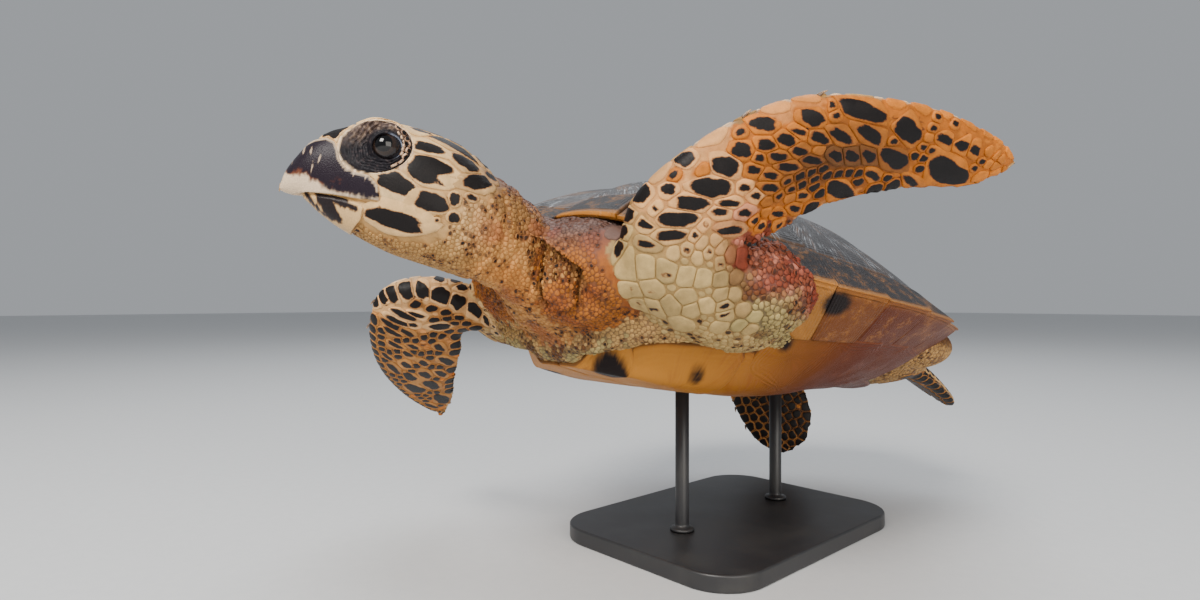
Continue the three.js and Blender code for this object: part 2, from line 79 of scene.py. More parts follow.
def add(tree, kind, settings=None, **sockets):
    made = tree.nodes.new("ShaderNode" + kind)
    for key, value in (settings or {}).items():
        setattr(made, key, value)
    for socket, value in sockets.items():
        target = made.inputs[int(socket[1:]) if socket[1:].isdigit() else socket.replace("_", " ")]
        if isinstance(value, bpy.types.NodeSocket):
            tree.links.new(value, target)
        else:
            target.default_value = value
    return made


def blend_colour(tree, share, a, b, mode="MIX"):
    mixed = add(tree, "Mix", {"data_type": "RGBA", "blend_type": mode}, _0=share, _6=a, _7=b)
    return mixed.outputs[2]


def noise_of(tree, place, scale, detail=4.0, rough=0.55):
    return add(tree, "TexNoise", None, Vector=place, Scale=scale, Detail=detail,
               Roughness=rough).outputs["Fac"]


def bump(tree, shader, height, distance, strength=1.0):
    made = add(tree, "Bump", None, Height=height, Distance=distance, Strength=strength)
    tree.links.new(made.outputs[0], shader.inputs["Normal"])


def floor_material():
    made, tree, shader = material_named("studio_floor", 0.75)
    place = add(tree, "TexCoord").outputs["Object"]
    fine = noise_of(tree, place, 90.0)
    colour = blend_colour(tree, fine, (0.60, 0.61, 0.62, 1), (0.66, 0.665, 0.67, 1))
    tree.links.new(colour, shader.inputs["Base Color"])
    bump(tree, shader, fine, 0.0004, 0.2)
    return made


bm = bmesh.new()
bmesh.ops.create_grid(bm, x_segments=4, y_segments=4, size=12)
floor = bpy.data.objects.new("floor", bpy.data.meshes.new("floor"))
bm.to_mesh(floor.data)
bm.free()
floor.data.materials.append(floor_material())
bpy.context.scene.collection.objects.link(floor)

world = bpy.data.worlds.new("studio")
world.use_nodes = True
world.node_tree.nodes["Background"].inputs["Color"].default_value = (0.86, 0.9, 0.95, 1)
world.node_tree.nodes["Background"].inputs["Strength"].default_value = 0.42
bpy.context.scene.world = world


def soft_light(name, at, size, power, colour=(1, 1, 1)):
    lamp = bpy.data.lights.new(name, "AREA")
    lamp.size = size
    lamp.energy = power
    lamp.color = colour
    made = bpy.data.objects.new(name, lamp)
    made.location = at
    made.rotation_euler = (Vector((0, 0, 0.2)) - Vector(at)).to_track_quat("-Z", "Y").to_euler()
    bpy.context.scene.collection.objects.link(made)


soft_light("key", (0.55, -1.85, 1.7), 0.9, 74, (1, 0.96, 0.9))
soft_light("overhead", (-0.6, 0.7, 2.6), 2.2, 42, (0.92, 0.96, 1))
soft_light("near_fill", (2.2, -0.7, 0.7), 1.5, 34, (1, 0.94, 0.86))

# ---- display stand ----
# A flat steel plate with round corners and two steel rods, all powder-coated black. The rods stand
# in low collars, are screwed up from below and end in the turtle's belly.
base_low, base_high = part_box("stand_base")
base_size = base_high - base_low
base_corner = 0.040
base_edge = 0.002
collar_out = 0.0045
collar_side = 0.0022
collar_top = 0.0038


def steps(tree, value, low, high):
    return add(tree, "MapRange", {"interpolation_type": "SMOOTHSTEP"},
               Value=value, From_Min=low, From_Max=high).outputs[0]


def ranged(tree, value, to_low, to_high, low=0.0, high=1.0):
    return add(tree, "MapRange", None, Value=value, From_Min=low, From_Max=high,
               To_Min=to_low, To_Max=to_high).outputs[0]


def metal_material():
    made, tree, shader = material_named("stand_metal", 0.42, Metallic=0.0, Coat_Weight=0.15,
                                        Coat_Roughness=0.35)
    place = add(tree, "TexCoord").outputs["Object"]
    grit = noise_of(tree, place, 900.0, 2.0)
    dust = noise_of(tree, place, 22.0, 5.0)
    colour = blend_colour(tree, steps(tree, dust, 0.45, 0.8), (0.018, 0.018, 0.02, 1),
                          (0.035, 0.034, 0.033, 1))
    tree.links.new(colour, shader.inputs["Base Color"])
    tree.links.new(ranged(tree, dust, 0.34, 0.55), shader.inputs["Roughness"])
    bump(tree, shader, grit, 0.00012, 0.5)
    return made


stand_metal = metal_material()


def finished(name, bm, material, replaced=(), smooth=True):
    """The bmesh as a named piece that rides on the model and stands for CAD nodes."""
    made = bpy.data.objects.new(name, bpy.data.meshes.new(name))
    bm.to_mesh(made.data)
    bm.free()
    for face in made.data.polygons:
        face.use_smooth = smooth
    made.data.materials.append(material)
    bpy.context.scene.collection.objects.link(made)
    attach(made, "root")
    if replaced:
        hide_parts(*replaced)
    return made


bm = bmesh.new()
bmesh.ops.create_cube(bm, size=1)
bmesh.ops.scale(bm, vec=base_size, verts=bm.verts)
bmesh.ops.translate(bm, vec=(base_low + base_high) / 2, verts=bm.verts)
upright = [e for e in bm.edges if abs(e.verts[0].co.z - e.verts[1].co.z) > 0.001]
bmesh.ops.bevel(bm, geom=upright, offset=base_corner, segments=14, affect="EDGES", profile=0.5, material=-1)
rims = [e for e in bm.edges if abs(e.verts[0].co.z - e.verts[1].co.z) < 1e-6 and
        any(abs(f.normal.z) > 0.9 for f in e.link_faces)
        and any(abs(f.normal.z) < 0.1 for f in e.link_faces)]
bmesh.ops.bevel(bm, geom=rims, offset=base_edge, segments=4, affect="EDGES", profile=0.5, material=-1)
stand_base = finished("stand_plate", bm, stand_metal, ["stand_base"])
stand_base.modifiers.new("flat faces", "WEIGHTED_NORMAL")

for which in ("front", "rear"):
    rod_low, rod_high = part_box("stand_rod_" + which)
    centre = (rod_low + rod_high) / 2
    radius = (rod_high.x - rod_low.x) / 2
    run = rod_high.z - 0.0005 - rod_low.z
    bm = bmesh.new()
    rings = [(radius + collar_out, 0.0), (radius + collar_out, collar_side), (radius + 0.0035, 0.0032),
             (radius + 0.0004, collar_top), (radius, 0.006), (radius, run)]
    for ring_radius, height in rings:
        low = base_high.z if height < 0.005 else rod_low.z
        bmesh.ops.create_circle(bm, segments=48, radius=ring_radius,
                                matrix=Matrix.Translation((centre.x, centre.y, low + height)))
    bmesh.ops.bridge_loops(bm, edges=bm.edges)
    bmesh.ops.holes_fill(bm, edges=bm.edges)
    bmesh.ops.recalc_face_normals(bm, faces=bm.faces)
    rod = finished("stand_post_" + which, bm, stand_metal, ["stand_rod_" + which])
    rod.modifiers.new("flat faces", "WEIGHTED_NORMAL")

# ---- the shell's form ----
# The bony shell under the horn, a flattened dome on a heart-shaped rim. It isn't a piece of its
# own: the horn plates are laid on its surfaces, and the flesh is kept between them.
shell_length = 500
shell_widen = 1.03
dome_height = 92
belly_depth = 60
nose_up = 7.9
rim_height = 205
half_rim = [
    (0, -0.48), (0.085, -0.497), (0.18, -0.465), (0.265, -0.375), (0.335, -0.235), (0.365, -0.07),
    (0.352, 0.09), (0.3, 0.235), (0.215, 0.355), (0.12, 0.445), (0, 0.505),
]
middle = np.array([0, -0.04 * shell_length])
stand_up = Matrix.Rotation(math.radians(-nose_up), 3, "X")


def on_stand(points):
    """Points on the turtle's axes in millimetres, as metres in the frame."""
    return (np.asarray(points) @ np.array(stand_up).T + (0, 0, rim_height)) * 0.001


def ease(low, high, value):
    share = np.clip((value - low) / (high - low), 0, 1)
    return share * share * (3 - 2 * share)


def rim_line():
    """The rim from above as a fine closed line: a centripetal curve through the half rim and its mirror."""
    outline = half_rim + [(-x, y) for x, y in half_rim[-2:0:-1]]
    points = np.array(outline) * (shell_length * shell_widen, shell_length)
    fine = []
    for k in range(len(points)):
        p0, p1, p2, p3 = (points[(k + i - 1) % len(points)] for i in range(4))
        d0, d1, d2 = (np.linalg.norm(b - a) ** 0.5 for a, b in ((p0, p1), (p1, p2), (p2, p3)))
        t1 = ((p1 - p0) / d0 - (p2 - p0) / (d0 + d1) + (p2 - p1) / d1) * d1
        t2 = ((p2 - p1) / d1 - (p3 - p1) / (d1 + d2) + (p3 - p2) / d2) * d1
        s = np.linspace(0, 1, 40, endpoint=False)[:, None]
        fine.append(p1 * (2 * s**3 - 3 * s**2 + 1) + t1 * (s**3 - 2 * s**2 + s) +
                    p2 * (3 * s**2 - 2 * s**3) + t2 * (s**3 - s**2))
    return np.vstack(fine + [points[:1]])


rim_fine = rim_line()
rim_run = np.concatenate([[0], np.cumsum(np.linalg.norm(np.diff(rim_fine, axis=0), axis=1))])
rim_run /= rim_run[-1]
rim_angle = np.unwrap(np.arctan2(rim_fine[:, 0], -(rim_fine[:, 1] - middle[1])))
rim_angle[-1] = rim_angle[0] + 2 * math.pi
front_most = int(np.argmin(rim_fine[:200, 1]))
rim_rear = int(np.argmax(rim_fine[:, 1]))


def rim_xy(around):
    around = np.asarray(around) % 1
    return np.stack([np.interp(around, rim_run, rim_fine[:, i]) for i in (0, 1)], axis=-1)


def fold(around):
    return 1 - np.abs(1 - 2 * (np.asarray(around) % 1))


def rim_z(around):
    return 31 * np.exp(-(((fold(around) - 0.08) / 0.16) ** 2)) - 9 * (fold(around) - 0.5)


def half_width(y):
    return np.interp(y, rim_fine[front_most:rim_rear, 1], rim_fine[front_most:rim_rear, 0])


def plan(share, around):
    return middle + (rim_xy(around) - middle) * np.asarray(share)[..., None]


def place_in_plan(x, y):
    """(share, around) of points seen from above."""
    angle = np.arctan2(x, -(y - middle[1])) % (2 * math.pi)
    around = np.interp(angle, rim_angle, rim_run)
    reach = np.linalg.norm(rim_xy(around) - middle, axis=-1)
    return np.hypot(x - middle[0], y - middle[1]) / reach, around


def dome_z(share, around):
    share = np.clip(share, 0, 1)
    y = plan(share, around)[..., 1] / shell_length
    height = dome_height - 15 * np.clip(y / 0.3, 0, 1.4) ** 1.5
    fullness = 2.2 + 0.6 * np.clip((-y - 0.05) / 0.3, 0, 1)
    return rim_z(around) * share**2 + height * (1 - share**fullness) ** 1.14


def belly_z(y):
    return -belly_depth - 17 * np.exp(-(((y / shell_length + 0.2) / 0.22) ** 2))


def under_z(share, around):
    xy = plan(np.clip(share, 0, 1), around)
    x, y = xy[..., 0], xy[..., 1]
    sideways = np.clip((np.abs(x) / half_width(y) - 0.38) / 0.62, 0, 1) ** 1.75
    backwards = np.clip((y / shell_length - 0.22) / 0.28, 0, 1) ** 1.4
    return belly_z(y) + (rim_z(around) - belly_z(y)) * np.maximum(sideways, backwards)


def margin_under(share, around):
    wedge = dome_z(share, around) - 4 - 110 * (1 - share)
    bridge = np.exp(-(((fold(around) - 0.47) / 0.2) ** 4))
    return np.maximum(under_z(share, around), wedge - 60 * bridge)


# ---- flesh ----
# What the hide covers: head and neck, four flippers, tail, shoulders, hips and the shell's filling.
# Each is one rounded run of rings, and the runs overlap where they meet.
coat_depth = 1.0
head_length = 124
nape = np.array([18, -290, 48])
turn_head = (Matrix.Rotation(math.radians(-27), 3, "Z") @ Matrix.Rotation(math.radians(-1), 3, "X")
             @ Matrix.Rotation(math.radians(3.5), 3, "Y"))
head_axes = np.array(turn_head)
turn_axis, turn_angle = turn_head.to_quaternion().to_axis_angle()


def through(rows):
    """A smooth run of values through rows (place, value, value...)."""
    table = np.array(rows, float)
    at, value = table[:, 0], table[:, 1:]

    def run(place):
        place = np.atleast_1d(place)
        k = np.clip(np.searchsorted(at, place) - 1, 0, len(at) - 2)
        before, after = np.maximum(k - 1, 0), np.minimum(k + 2, len(at) - 1)
        step = (at[k + 1] - at[k])[:, None]
        s = np.clip((place - at[k])[:, None] / step, 0, 1)
        start = (value[k + 1] - value[before]) / (at[k + 1] - at[before])[:, None] * step
        end = (value[after] - value[k]) / (at[after] - at[k])[:, None] * step
        return (value[k] * (2 * s**3 - 3 * s**2 + 1) + start * (s**3 - 2 * s**2 + s)
                + value[k + 1] * (3 * s**2 - 2 * s**3) + end * (s**3 - s**2))

    return run


def ringed(place, along, around, evenly=False):
    """A closed body of rings: place(u, angle) gives its points, and each end is a single point."""
    bm = bmesh.new()
    bmesh.ops.create_uvsphere(bm, u_segments=around, v_segments=along, radius=1)
    ball = np.array([vert.co for vert in bm.verts])
    v = np.arccos(np.clip(-ball[:, 2], -1, 1)) / math.pi
    u = v if evenly else (1 - np.cos(v * math.pi)) / 2
    pole = np.hypot(ball[:, 0], ball[:, 1]) < 1e-5
    angle = np.where(pole, 0, np.arctan2(ball[:, 1], ball[:, 0]) % (2 * math.pi))
    points = place(u, angle)
    for vert, point in zip(bm.verts, points):
        vert.co = point
    bmesh.ops.recalc_face_normals(bm, faces=bm.faces)
    return bm, points, u, angle


head_form = through([
    (0, 3, -66, 29, 1), (12, 12.5, -65, 29.5, 1), (26, 19, -63, 30.5, 0.95), (40, 22, -60.5, 31, 0.9),
    (54, 23.5, -58, 29.5, 0.9), (67, 24, -54, 26.5, 0.9), (80, 21.5, -49, 22.5, 0.9),
    (91, 16, -44, 19, 0.9), (101, 11, -38, 16, 0.9), (110, 2.5, -31.5, 12.5, 0.9), (117, -8, -30, 8.5, 1),
    (122, -18, -29, 4.5, 1), (head_length, -27, -28, 1, 1),
])
skull_back = head_axes @ (0, 0, -31.5) + nape
neck_form = through([
    (0, 0, -165, -12, 70, 36), (0.25, 1, -205, -12, 66, 40), (0.45, 4, -230, -6, 52, 38.5),
    (0.62, 9, -250, 1, 42, 36.5), (0.8, 15, -270, 11, 34, 35), (1, *skull_back, 29, 34.5),
])
neck_share = 0.42


def head_surface(ahead, angle, grow):
    top, bottom, half, square = head_form(ahead).T
    across, upwards = np.cos(angle), np.sin(angle)
    side = np.sign(across) * np.abs(across) ** square * (half + grow)
    up = np.sign(upwards) * np.abs(upwards) ** square * ((top - bottom) / 2 + grow) + (top + bottom) / 2
    return np.stack([side, -ahead, up], axis=-1) @ head_axes.T + nape


def head_and_neck(grow):
    def place(u, angle):
        points = head_surface(np.clip((u - neck_share) / (1 - neck_share), 0, 1) * head_length, angle, grow)
        back = u < neck_share
        along = u[back] / neck_share
        x, y, z, half, high = neck_form(along).T
        end = np.minimum(1, 1.2 * np.sqrt(1 - np.abs(2 * u[back] - 1) ** 16))
        ring = np.stack([np.cos(angle[back]) * (half * end + grow), np.zeros_like(along),
                         np.sin(angle[back]) * (high * end + grow)], axis=-1)
        turn = (turn_angle * along**1.5)[:, None]
        axis = np.array(turn_axis)
        ring = (ring * np.cos(turn) + np.cross(axis, ring) * np.sin(turn)
                + axis * (ring @ axis)[:, None] * (1 - np.cos(turn)))
        points[back] = ring + np.stack([x, y, z], axis=-1)
        return points
    return place


limb_rows = {
    "front_flipper_left": [
        (0, 88, -160, -42, 140, -100, -36, 25), (0.14, 88, -226, -14, 146, -152, -14, 25),
        (0.28, 103, -251, 27, 149, -188, 14, 20), (0.42, 143, -243, 64, 158, -173, 29, 14),
        (0.57, 187, -205, 97, 178, -141, 52, 10), (0.74, 223, -133, 110, 203, -97, 68, 7),
        (0.9, 246, -68, 107, 229, -56, 77, 4.5), (1, 253, -42, 101, 247, -34, 89, 3)],
    "front_flipper_right": [
        (0, -112, -118, -10, -98, -120, -50, 22), (0.14, -100, -198, -14, -90, -176, -55, 22),
        (0.28, -94, -252, -6, -92, -212, -46, 17), (0.42, -113, -289, -19, -104, -221, -48, 13),
        (0.57, -142, -287, -45, -122, -209, -63, 10), (0.74, -182, -257, -79, -161, -188, -86, 7),
        (0.9, -218, -208, -110, -200, -161, -108, 4.5), (1, -241, -157, -134, -231, -140, -126, 3)],
    "hind_flipper_left": [
        (0, 96, 120, -26, 60, 150, -16, 16), (0.3, 100, 168, -34, 56, 190, -22, 13),
        (0.6, 106, 218, -46, 52, 238, -34, 8), (0.85, 109, 258, -62, 66, 272, -52, 5),
        (1, 108, 278, -72, 84, 282, -66, 3.5)],
    "hind_flipper_right": [
        (0, -118, 128, -24, -62, 160, -18, 16), (0.3, -126, 150, -44, -52, 196, -40, 13),
        (0.6, -108, 168, -96, -32, 212, -84, 8), (0.85, -88, 184, -131, -30, 212, -120, 5),
        (1, -68, 196, -149, -42, 210, -141, 3.5)],
}


def unit(vectors):
    return vectors / np.maximum(np.linalg.norm(vectors, axis=-1, keepdims=True), 1e-9)


def flipper(name, grow):
    """A leading and a trailing edge, thicker in front, on a middle line; angle pi is the leading edge."""
    form = through(limb_rows[name])

    def place(u, angle):
        row, after, before = form(u), form(np.minimum(u + 0.02, 1)), form(np.maximum(u - 0.02, 0))
        lead, trail = row[:, :3], row[:, 3:6]
        run = (after[:, :3] + after[:, 3:6]) - (before[:, :3] + before[:, 3:6])
        chord = trail - lead
        up = unit(np.cross(chord, run))
        blunt = np.sqrt(1 - np.abs(2 * u - 1) ** 9)
        c = np.cos(angle)
        thin = 1 - 0.45 * c * np.clip((u - 0.25) / 0.3, 0, 1)
        reach = np.linalg.norm(chord, axis=1) / 2 * blunt + grow
        rise = (row[:, 6] * blunt * thin + grow) * np.sin(angle)
        return ((lead + trail) / 2 + unit(chord) * (reach * c)[:, None] + up * rise[:, None]
                + unit(run) * (2 * grow * (2 * u - 1) ** 5)[:, None])
    return place


tail_form = through([(0, 170, -36, 17, 13), (0.4, 205, -40, 14, 11), (0.75, 238, -46, 8, 7),
                     (1, 262, -52, 3, 3)])


def tail(grow):
    def place(u, angle):
        y, z, half, high = tail_form(u).T
        blunt = np.sqrt(1 - np.abs(2 * u - 1) ** 10)
        return np.stack([np.cos(angle) * (half * blunt + grow), y + 2 * grow * (2 * u - 1) ** 5,
                         z + np.sin(angle) * (high * blunt + grow)], axis=-1)
    return place


def swell(half, x, y, z):
    def place(u, angle):
        around = np.sqrt(np.maximum(1 - (2 * u - 1) ** 2, 0))
        ball = np.stack([around * np.cos(angle), around * np.sin(angle), 2 * u - 1], axis=-1)
        return ball * half + (x, y, z)
    return place


def trunk(u, angle):
    """What fills the shell, as wide as the flesh is seen between its upper and lower plates."""
    share = 0.87 * np.sqrt(np.maximum(1 - (2 * u - 1) ** 2, 0))
    around = angle / (2 * math.pi)
    over, under = dome_z(share, around) - 12, under_z(share, around) + 9
    z = np.where(u > 0.5, np.maximum(over, under + 2), under)
    return np.column_stack([plan(share, around), z])


body_runs = {
    "head_and_neck": (head_and_neck(-coat_depth), 150, 96),
    **{name: (flipper(name, -coat_depth), 100, 56) for name in limb_rows},
    "tail": (tail(-coat_depth), 40, 32),
    "shoulders": (swell((141, 73, 49), 0, -160, -18), 40, 60),
    "hips": (swell((117, 73, 33), 0, 160, -26), 40, 60),
    "trunk": (trunk, 40, 90),
    "nape_left": (swell((58, 40, 38), 42, -226, -2), 30, 40),
    "nape_right": (swell((50, 34, 32), -38, -214, -4), 30, 40),
    "flank_left": (swell((40, 44, 34), 128, -152, -4), 30, 40),
    "flank_right": (swell((40, 44, 34), -122, -146, -14), 30, 40),
    "groin_left": (swell((52, 62, 24), 104, 108, -16), 30, 40),
    "groin_right": (swell((52, 62, 24), -104, 108, -16), 30, 40),
}
run_names = list(body_runs)


def join_to(whole, body):
    """Adds a body to a larger bmesh, with its points in the same order."""
    held = bpy.data.meshes.new("held")
    body.to_mesh(held)
    body.free()
    whole.from_mesh(held)
    bpy.data.meshes.remove(held)


together = bmesh.new()
run_points, run_part, run_u, run_angle = [], [], [], []
for number, (place, along, around) in enumerate(body_runs.values()):
    one, points, u, angle = ringed(place, along, around)
    join_to(together, one)
    run_points.append(points)
    run_part.append(np.full(len(points), number))
    run_u.append(u)
    run_angle.append(angle)
run_points, run_part = np.vstack(run_points), np.concatenate(run_part)
run_u, run_angle = np.concatenate(run_u), np.concatenate(run_angle)

# ---- skin ----
# The bare leathery hide, one piece over all of the flesh. It is drawn tight under the shell's rim
# and on to the belly, then gets its lids, mouth groove, nostrils, folds and lumps.
skin_voxel = 2.1
skin_triangles = 185000
skin = bpy.data.objects.new("skin", bpy.data.meshes.new("skin"))
together.to_mesh(skin.data)
together.free()
bpy.context.scene.collection.objects.link(skin)
remesh = skin.modifiers.new("one hide", "REMESH")
remesh.mode = "VOXEL"
remesh.voxel_size = skin_voxel
whole = bpy.data.meshes.new_from_object(skin.evaluated_get(bpy.context.evaluated_depsgraph_get()))
skin.modifiers.remove(remesh)
skin.data = whole


def tree_of(points):
    """A search tree over points, which gives back their numbers."""
    tree = KDTree(len(points))
    for index, point in enumerate(points):
        tree.insert(point, index)
    tree.balance()
    return tree


def points_of(mesh):
    co = np.empty(len(mesh.vertices) * 3, np.float32)
    mesh.vertices.foreach_get("co", co)
    return co.reshape(-1, 3).astype(float)


def put_points(mesh, points):
    mesh.vertices.foreach_set("co", np.asarray(points, np.float32).ravel())
    mesh.update()


def normals_of(mesh):
    out = np.empty(len(mesh.vertices) * 3, np.float32)
    mesh.vertex_normals.foreach_get("vector", out)
    return out.reshape(-1, 3).astype(float)


def relax(mesh, points, rounds, weight):
    """Moves each point towards the middle of its neighbours."""
    ends = np.empty(len(mesh.edges) * 2, np.int32)
    mesh.edges.foreach_get("vertices", ends)
    a, b = ends.reshape(-1, 2).T
    count = np.maximum(np.bincount(a, minlength=len(points)) + np.bincount(b, minlength=len(points)), 1)
    weight = np.broadcast_to(weight, len(points))[:, None]
    for _ in range(rounds):
        total = np.stack([np.bincount(a, points[b, i], len(points))
                          + np.bincount(b, points[a, i], len(points))
                          for i in range(3)], axis=-1)
        points = points + weight * (total / count[:, None] - points)
    return points


nearest_run = tree_of(run_points)


def whereabouts(points):
    """For each point the body run it lies on, and its (u, angle) there."""
    index = np.array([nearest_run.find(point)[1] for point in points])
    return run_part[index], run_u[index], run_angle[index]


plastron_side = [
    (0.035, -0.405), (0.1, -0.365), (0.165, -0.275), (0.2, -0.175), (0.21, -0.1), (0.21, 0.1),
    (0.19, 0.17), (0.155, 0.25), (0.09, 0.325), (0.03, 0.352),
]
plastron_x, plastron_y = (np.array(plastron_side) * shell_length).T


def belly_plate_z(x, y):
    """The belly's surface, curling up along the sides of the plastron's front."""
    beyond = np.abs(x) - np.interp(y, plastron_y, plastron_x)
    curl = np.interp(y, [-195, -150, -112, -62], [17, 14, 10, 0]) * ease(0, 26, beyond)
    return under_z(*place_in_plan(x, y)) + curl


def tuck_under_shell(points):
    """Keeps the hide below the carapace and above the plastron wherever it is inside the rim."""
    share, around = place_in_plan(points[:, 0], points[:, 1])
    inside = share < 1.0
    roof = np.where(share < 0.84, dome_z(share, around) - 6, margin_under(share, around) + 2)
    lid = inside & (points[:, 2] < dome_z(share, around) + 8)
    points[:, 2] = np.where(lid, np.minimum(points[:, 2], roof), points[:, 2])
    side = np.interp(points[:, 1], plastron_y, plastron_x)
    bridge = np.abs(points[:, 1] + 28) < 92
    floor_z = under_z(share, around) + 3
    over = (inside & ((np.abs(points[:, 0]) < side) | bridge) & (points[:, 1] > plastron_y[0])
            & (points[:, 1] < plastron_y[-1]))
    points[:, 2] = np.where(over, np.maximum(points[:, 2], floor_z), points[:, 2])
    return points


def lift_over_plastron(points):
    """Raises the throat's and shoulders' underside on to the upturned sides of the plastron's front."""
    part, _, _ = whereabouts(points)
    x, y = points[:, 0], points[:, 1]
    beyond = np.abs(x) - np.interp(y, plastron_y, plastron_x)
    front = ease(plastron_y[0] - 14, plastron_y[0] - 2, y) * ease(-80, -105, y)
    shelf = belly_plate_z(x, y) + 3 - 40 * (1 - front) - 0.6 * np.maximum(beyond - 27, 0)
    raised = ((part == 0) | (part > 4)) & (beyond < 60) & (points[:, 2] > shelf - 30)
    points[:, 2] = np.where(raised, np.maximum(points[:, 2], shelf), points[:, 2])
    return points


def settle_on_belly(points, normals):
    """Draws the hide's underside down on to the plastron, and towards its edge from a little way outside."""
    share, around = place_in_plan(points[:, 0], points[:, 1])
    x, y = np.abs(points[:, 0]), points[:, 1]
    side = np.interp(y, plastron_y, plastron_x)
    beyond = np.maximum(x - side, 0) + np.maximum(plastron_y[0] - y, 0) + np.maximum(y - plastron_y[-1], 0)
    target = under_z(share, around) + 3.2
    near = (normals[:, 2] < -0.15) & (points[:, 2] < target + 34) & (share < 1.02)
    pull = near * ease(20, 0, beyond) * ease(-0.15, -0.5, normals[:, 2])
    points[:, 2] += pull * (target - points[:, 2])
    return points


def noise_at(points, scale, shift=0.0):
    scaled = np.asarray(points) * scale + shift
    return np.array([noise.noise(point) for point in scaled.tolist()])


def to_head(points):
    """Body points as (side, ahead, up) of the head."""
    local = (points - nape) @ head_axes
    return local[:, 0], -local[:, 1], local[:, 2]


hide = points_of(skin.data)
part, u, angle = whereabouts(hide)
number_of = {name: i for i, name in enumerate(run_names)}
joins = (part >= number_of["shoulders"]) | (
    (part == number_of["head_and_neck"]) & (u < neck_share * 0.8)) | (
    (part > 0) & (part < 5) & (u < 0.3))
hide = relax(skin.data, hide, 3, 0.5)
hide = relax(skin.data, hide, 14, np.where(joins, 0.6, 0.0))
put_points(skin.data, hide)
hide = settle_on_belly(hide, normals_of(skin.data))
hide = relax(skin.data, hide, 4, np.where(joins, 0.5, 0.0))
hide = lift_over_plastron(tuck_under_shell(hide))
put_points(skin.data, hide)
hide = relax(skin.data, hide, 5, np.where(joins, 0.5, 0.0))
hide = lift_over_plastron(tuck_under_shell(hide))
put_points(skin.data, hide)

# the hide is finer round the eyes and along the mouth
eye_middle = (66, 18.5, 4.5)
opening = (65.6, 3.6)
opening_half = (8.2, 7.2)
opening_tilt = math.radians(11)
orbit_middle = (72.2, 3.0)
orbit_half = (21.2, 16.0)
orbit_tilt = math.radians(15)
mouth_line = np.array([(125, -31), (119, -31), (108, -29.6), (93, -29.6), (76, -31.2), (54, -30.8),
                       (43, -30.4), (31, -32.8), (22, -34.6)])


def from_line(line, x, y):
    """Distance of (x, y) from a broken line, and which side of it (below is negative)."""
    best = np.full(len(x), 1e9)
    sign = np.ones(len(x))
    for (x0, y0), (x1, y1) in zip(line[:-1], line[1:]):
        dx, dy = x1 - x0, y1 - y0
        t = np.clip(((x - x0) * dx + (y - y0) * dy) / (dx * dx + dy * dy), 0, 1)
        d = np.hypot(x - x0 - t * dx, y - y0 - t * dy)
        nearer = d < best
        best = np.where(nearer, d, best)
        sign = np.where(nearer, np.sign(dx * (y - y0) - dy * (x - x0)) * (-1 if dx < 0 else 1), sign)
    return best, sign


def finer(mesh, rounds):
    bm = bmesh.new()
    bm.from_mesh(mesh)
    for eye_reach, mouth_reach in rounds:
        middles = np.array([face.calc_center_median() for face in bm.faces])
        side, ahead, up = to_head(middles)
        near_eye = np.hypot(ahead - 67, up - 3.5) < eye_reach
        on_cheek = (np.abs(side) > 6) & (ahead > 20)
        near_mouth = (from_line(mouth_line, ahead, up)[0] < mouth_reach) & (ahead > 28)
        near_mouth |= (np.hypot(ahead - 110, up - 0.5) < mouth_reach * 1.6) & (np.abs(side) < 9)
        bm.faces.ensure_lookup_table()
        edges = {edge for i in np.nonzero((near_eye & on_cheek) | near_mouth)[0]
                 for edge in bm.faces[i].edges}
        bmesh.ops.subdivide_edges(bm, edges=list(edges), cuts=1, use_grid_fill=True)
    bmesh.ops.triangulate(bm, faces=[face for face in bm.faces if len(face.verts) > 4])
    bm.to_mesh(mesh)
    bm.free()


finer(skin.data, [(21, 3.5), (17.5, 0), (14.5, 0)])
hide = points_of(skin.data)
side, ahead, up = to_head(hide)
fine = (np.hypot(ahead - 67, up - 3.5) < 24) | (from_line(mouth_line, ahead, up)[0] < 5) | (ahead > 100)
hide = relax(skin.data, hide, 4, np.where(fine & (ahead > 20), 0.5, 0.0))
side, ahead, up = to_head(hide)


def lid_share(ahead, up):
    """(0 at the opening's edge to 1 at the orbit's pale line, share of the opening's radius, turn)."""
    dx, dy = ahead - opening[0], up - opening[1]
    c, s = math.cos(opening_tilt), math.sin(opening_tilt)
    along, across = dx * c - dy * s, dx * s + dy * c
    reach = np.maximum(np.hypot(dx, dy), 1e-6)
    inner = reach / np.maximum(np.hypot(along / opening_half[0], across / opening_half[1]), 1e-6)
    c, s = math.cos(orbit_tilt), math.sin(orbit_tilt)
    ux, uy = (dx * c - dy * s) / reach, (dx * s + dy * c) / reach
    ox, oy = opening[0] - orbit_middle[0], opening[1] - orbit_middle[1]
    ox, oy = ox * c - oy * s, ox * s + oy * c
    a = (ux / orbit_half[0]) ** 2 + (uy / orbit_half[1]) ** 2
    b = ux * ox / orbit_half[0] ** 2 + uy * oy / orbit_half[1] ** 2
    k = (ox / orbit_half[0]) ** 2 + (oy / orbit_half[1]) ** 2 - 1
    outer = (-b + np.sqrt(b * b - a * k)) / a
    return (reach - inner) / (outer - inner), reach / inner, np.arctan2(dy, dx)


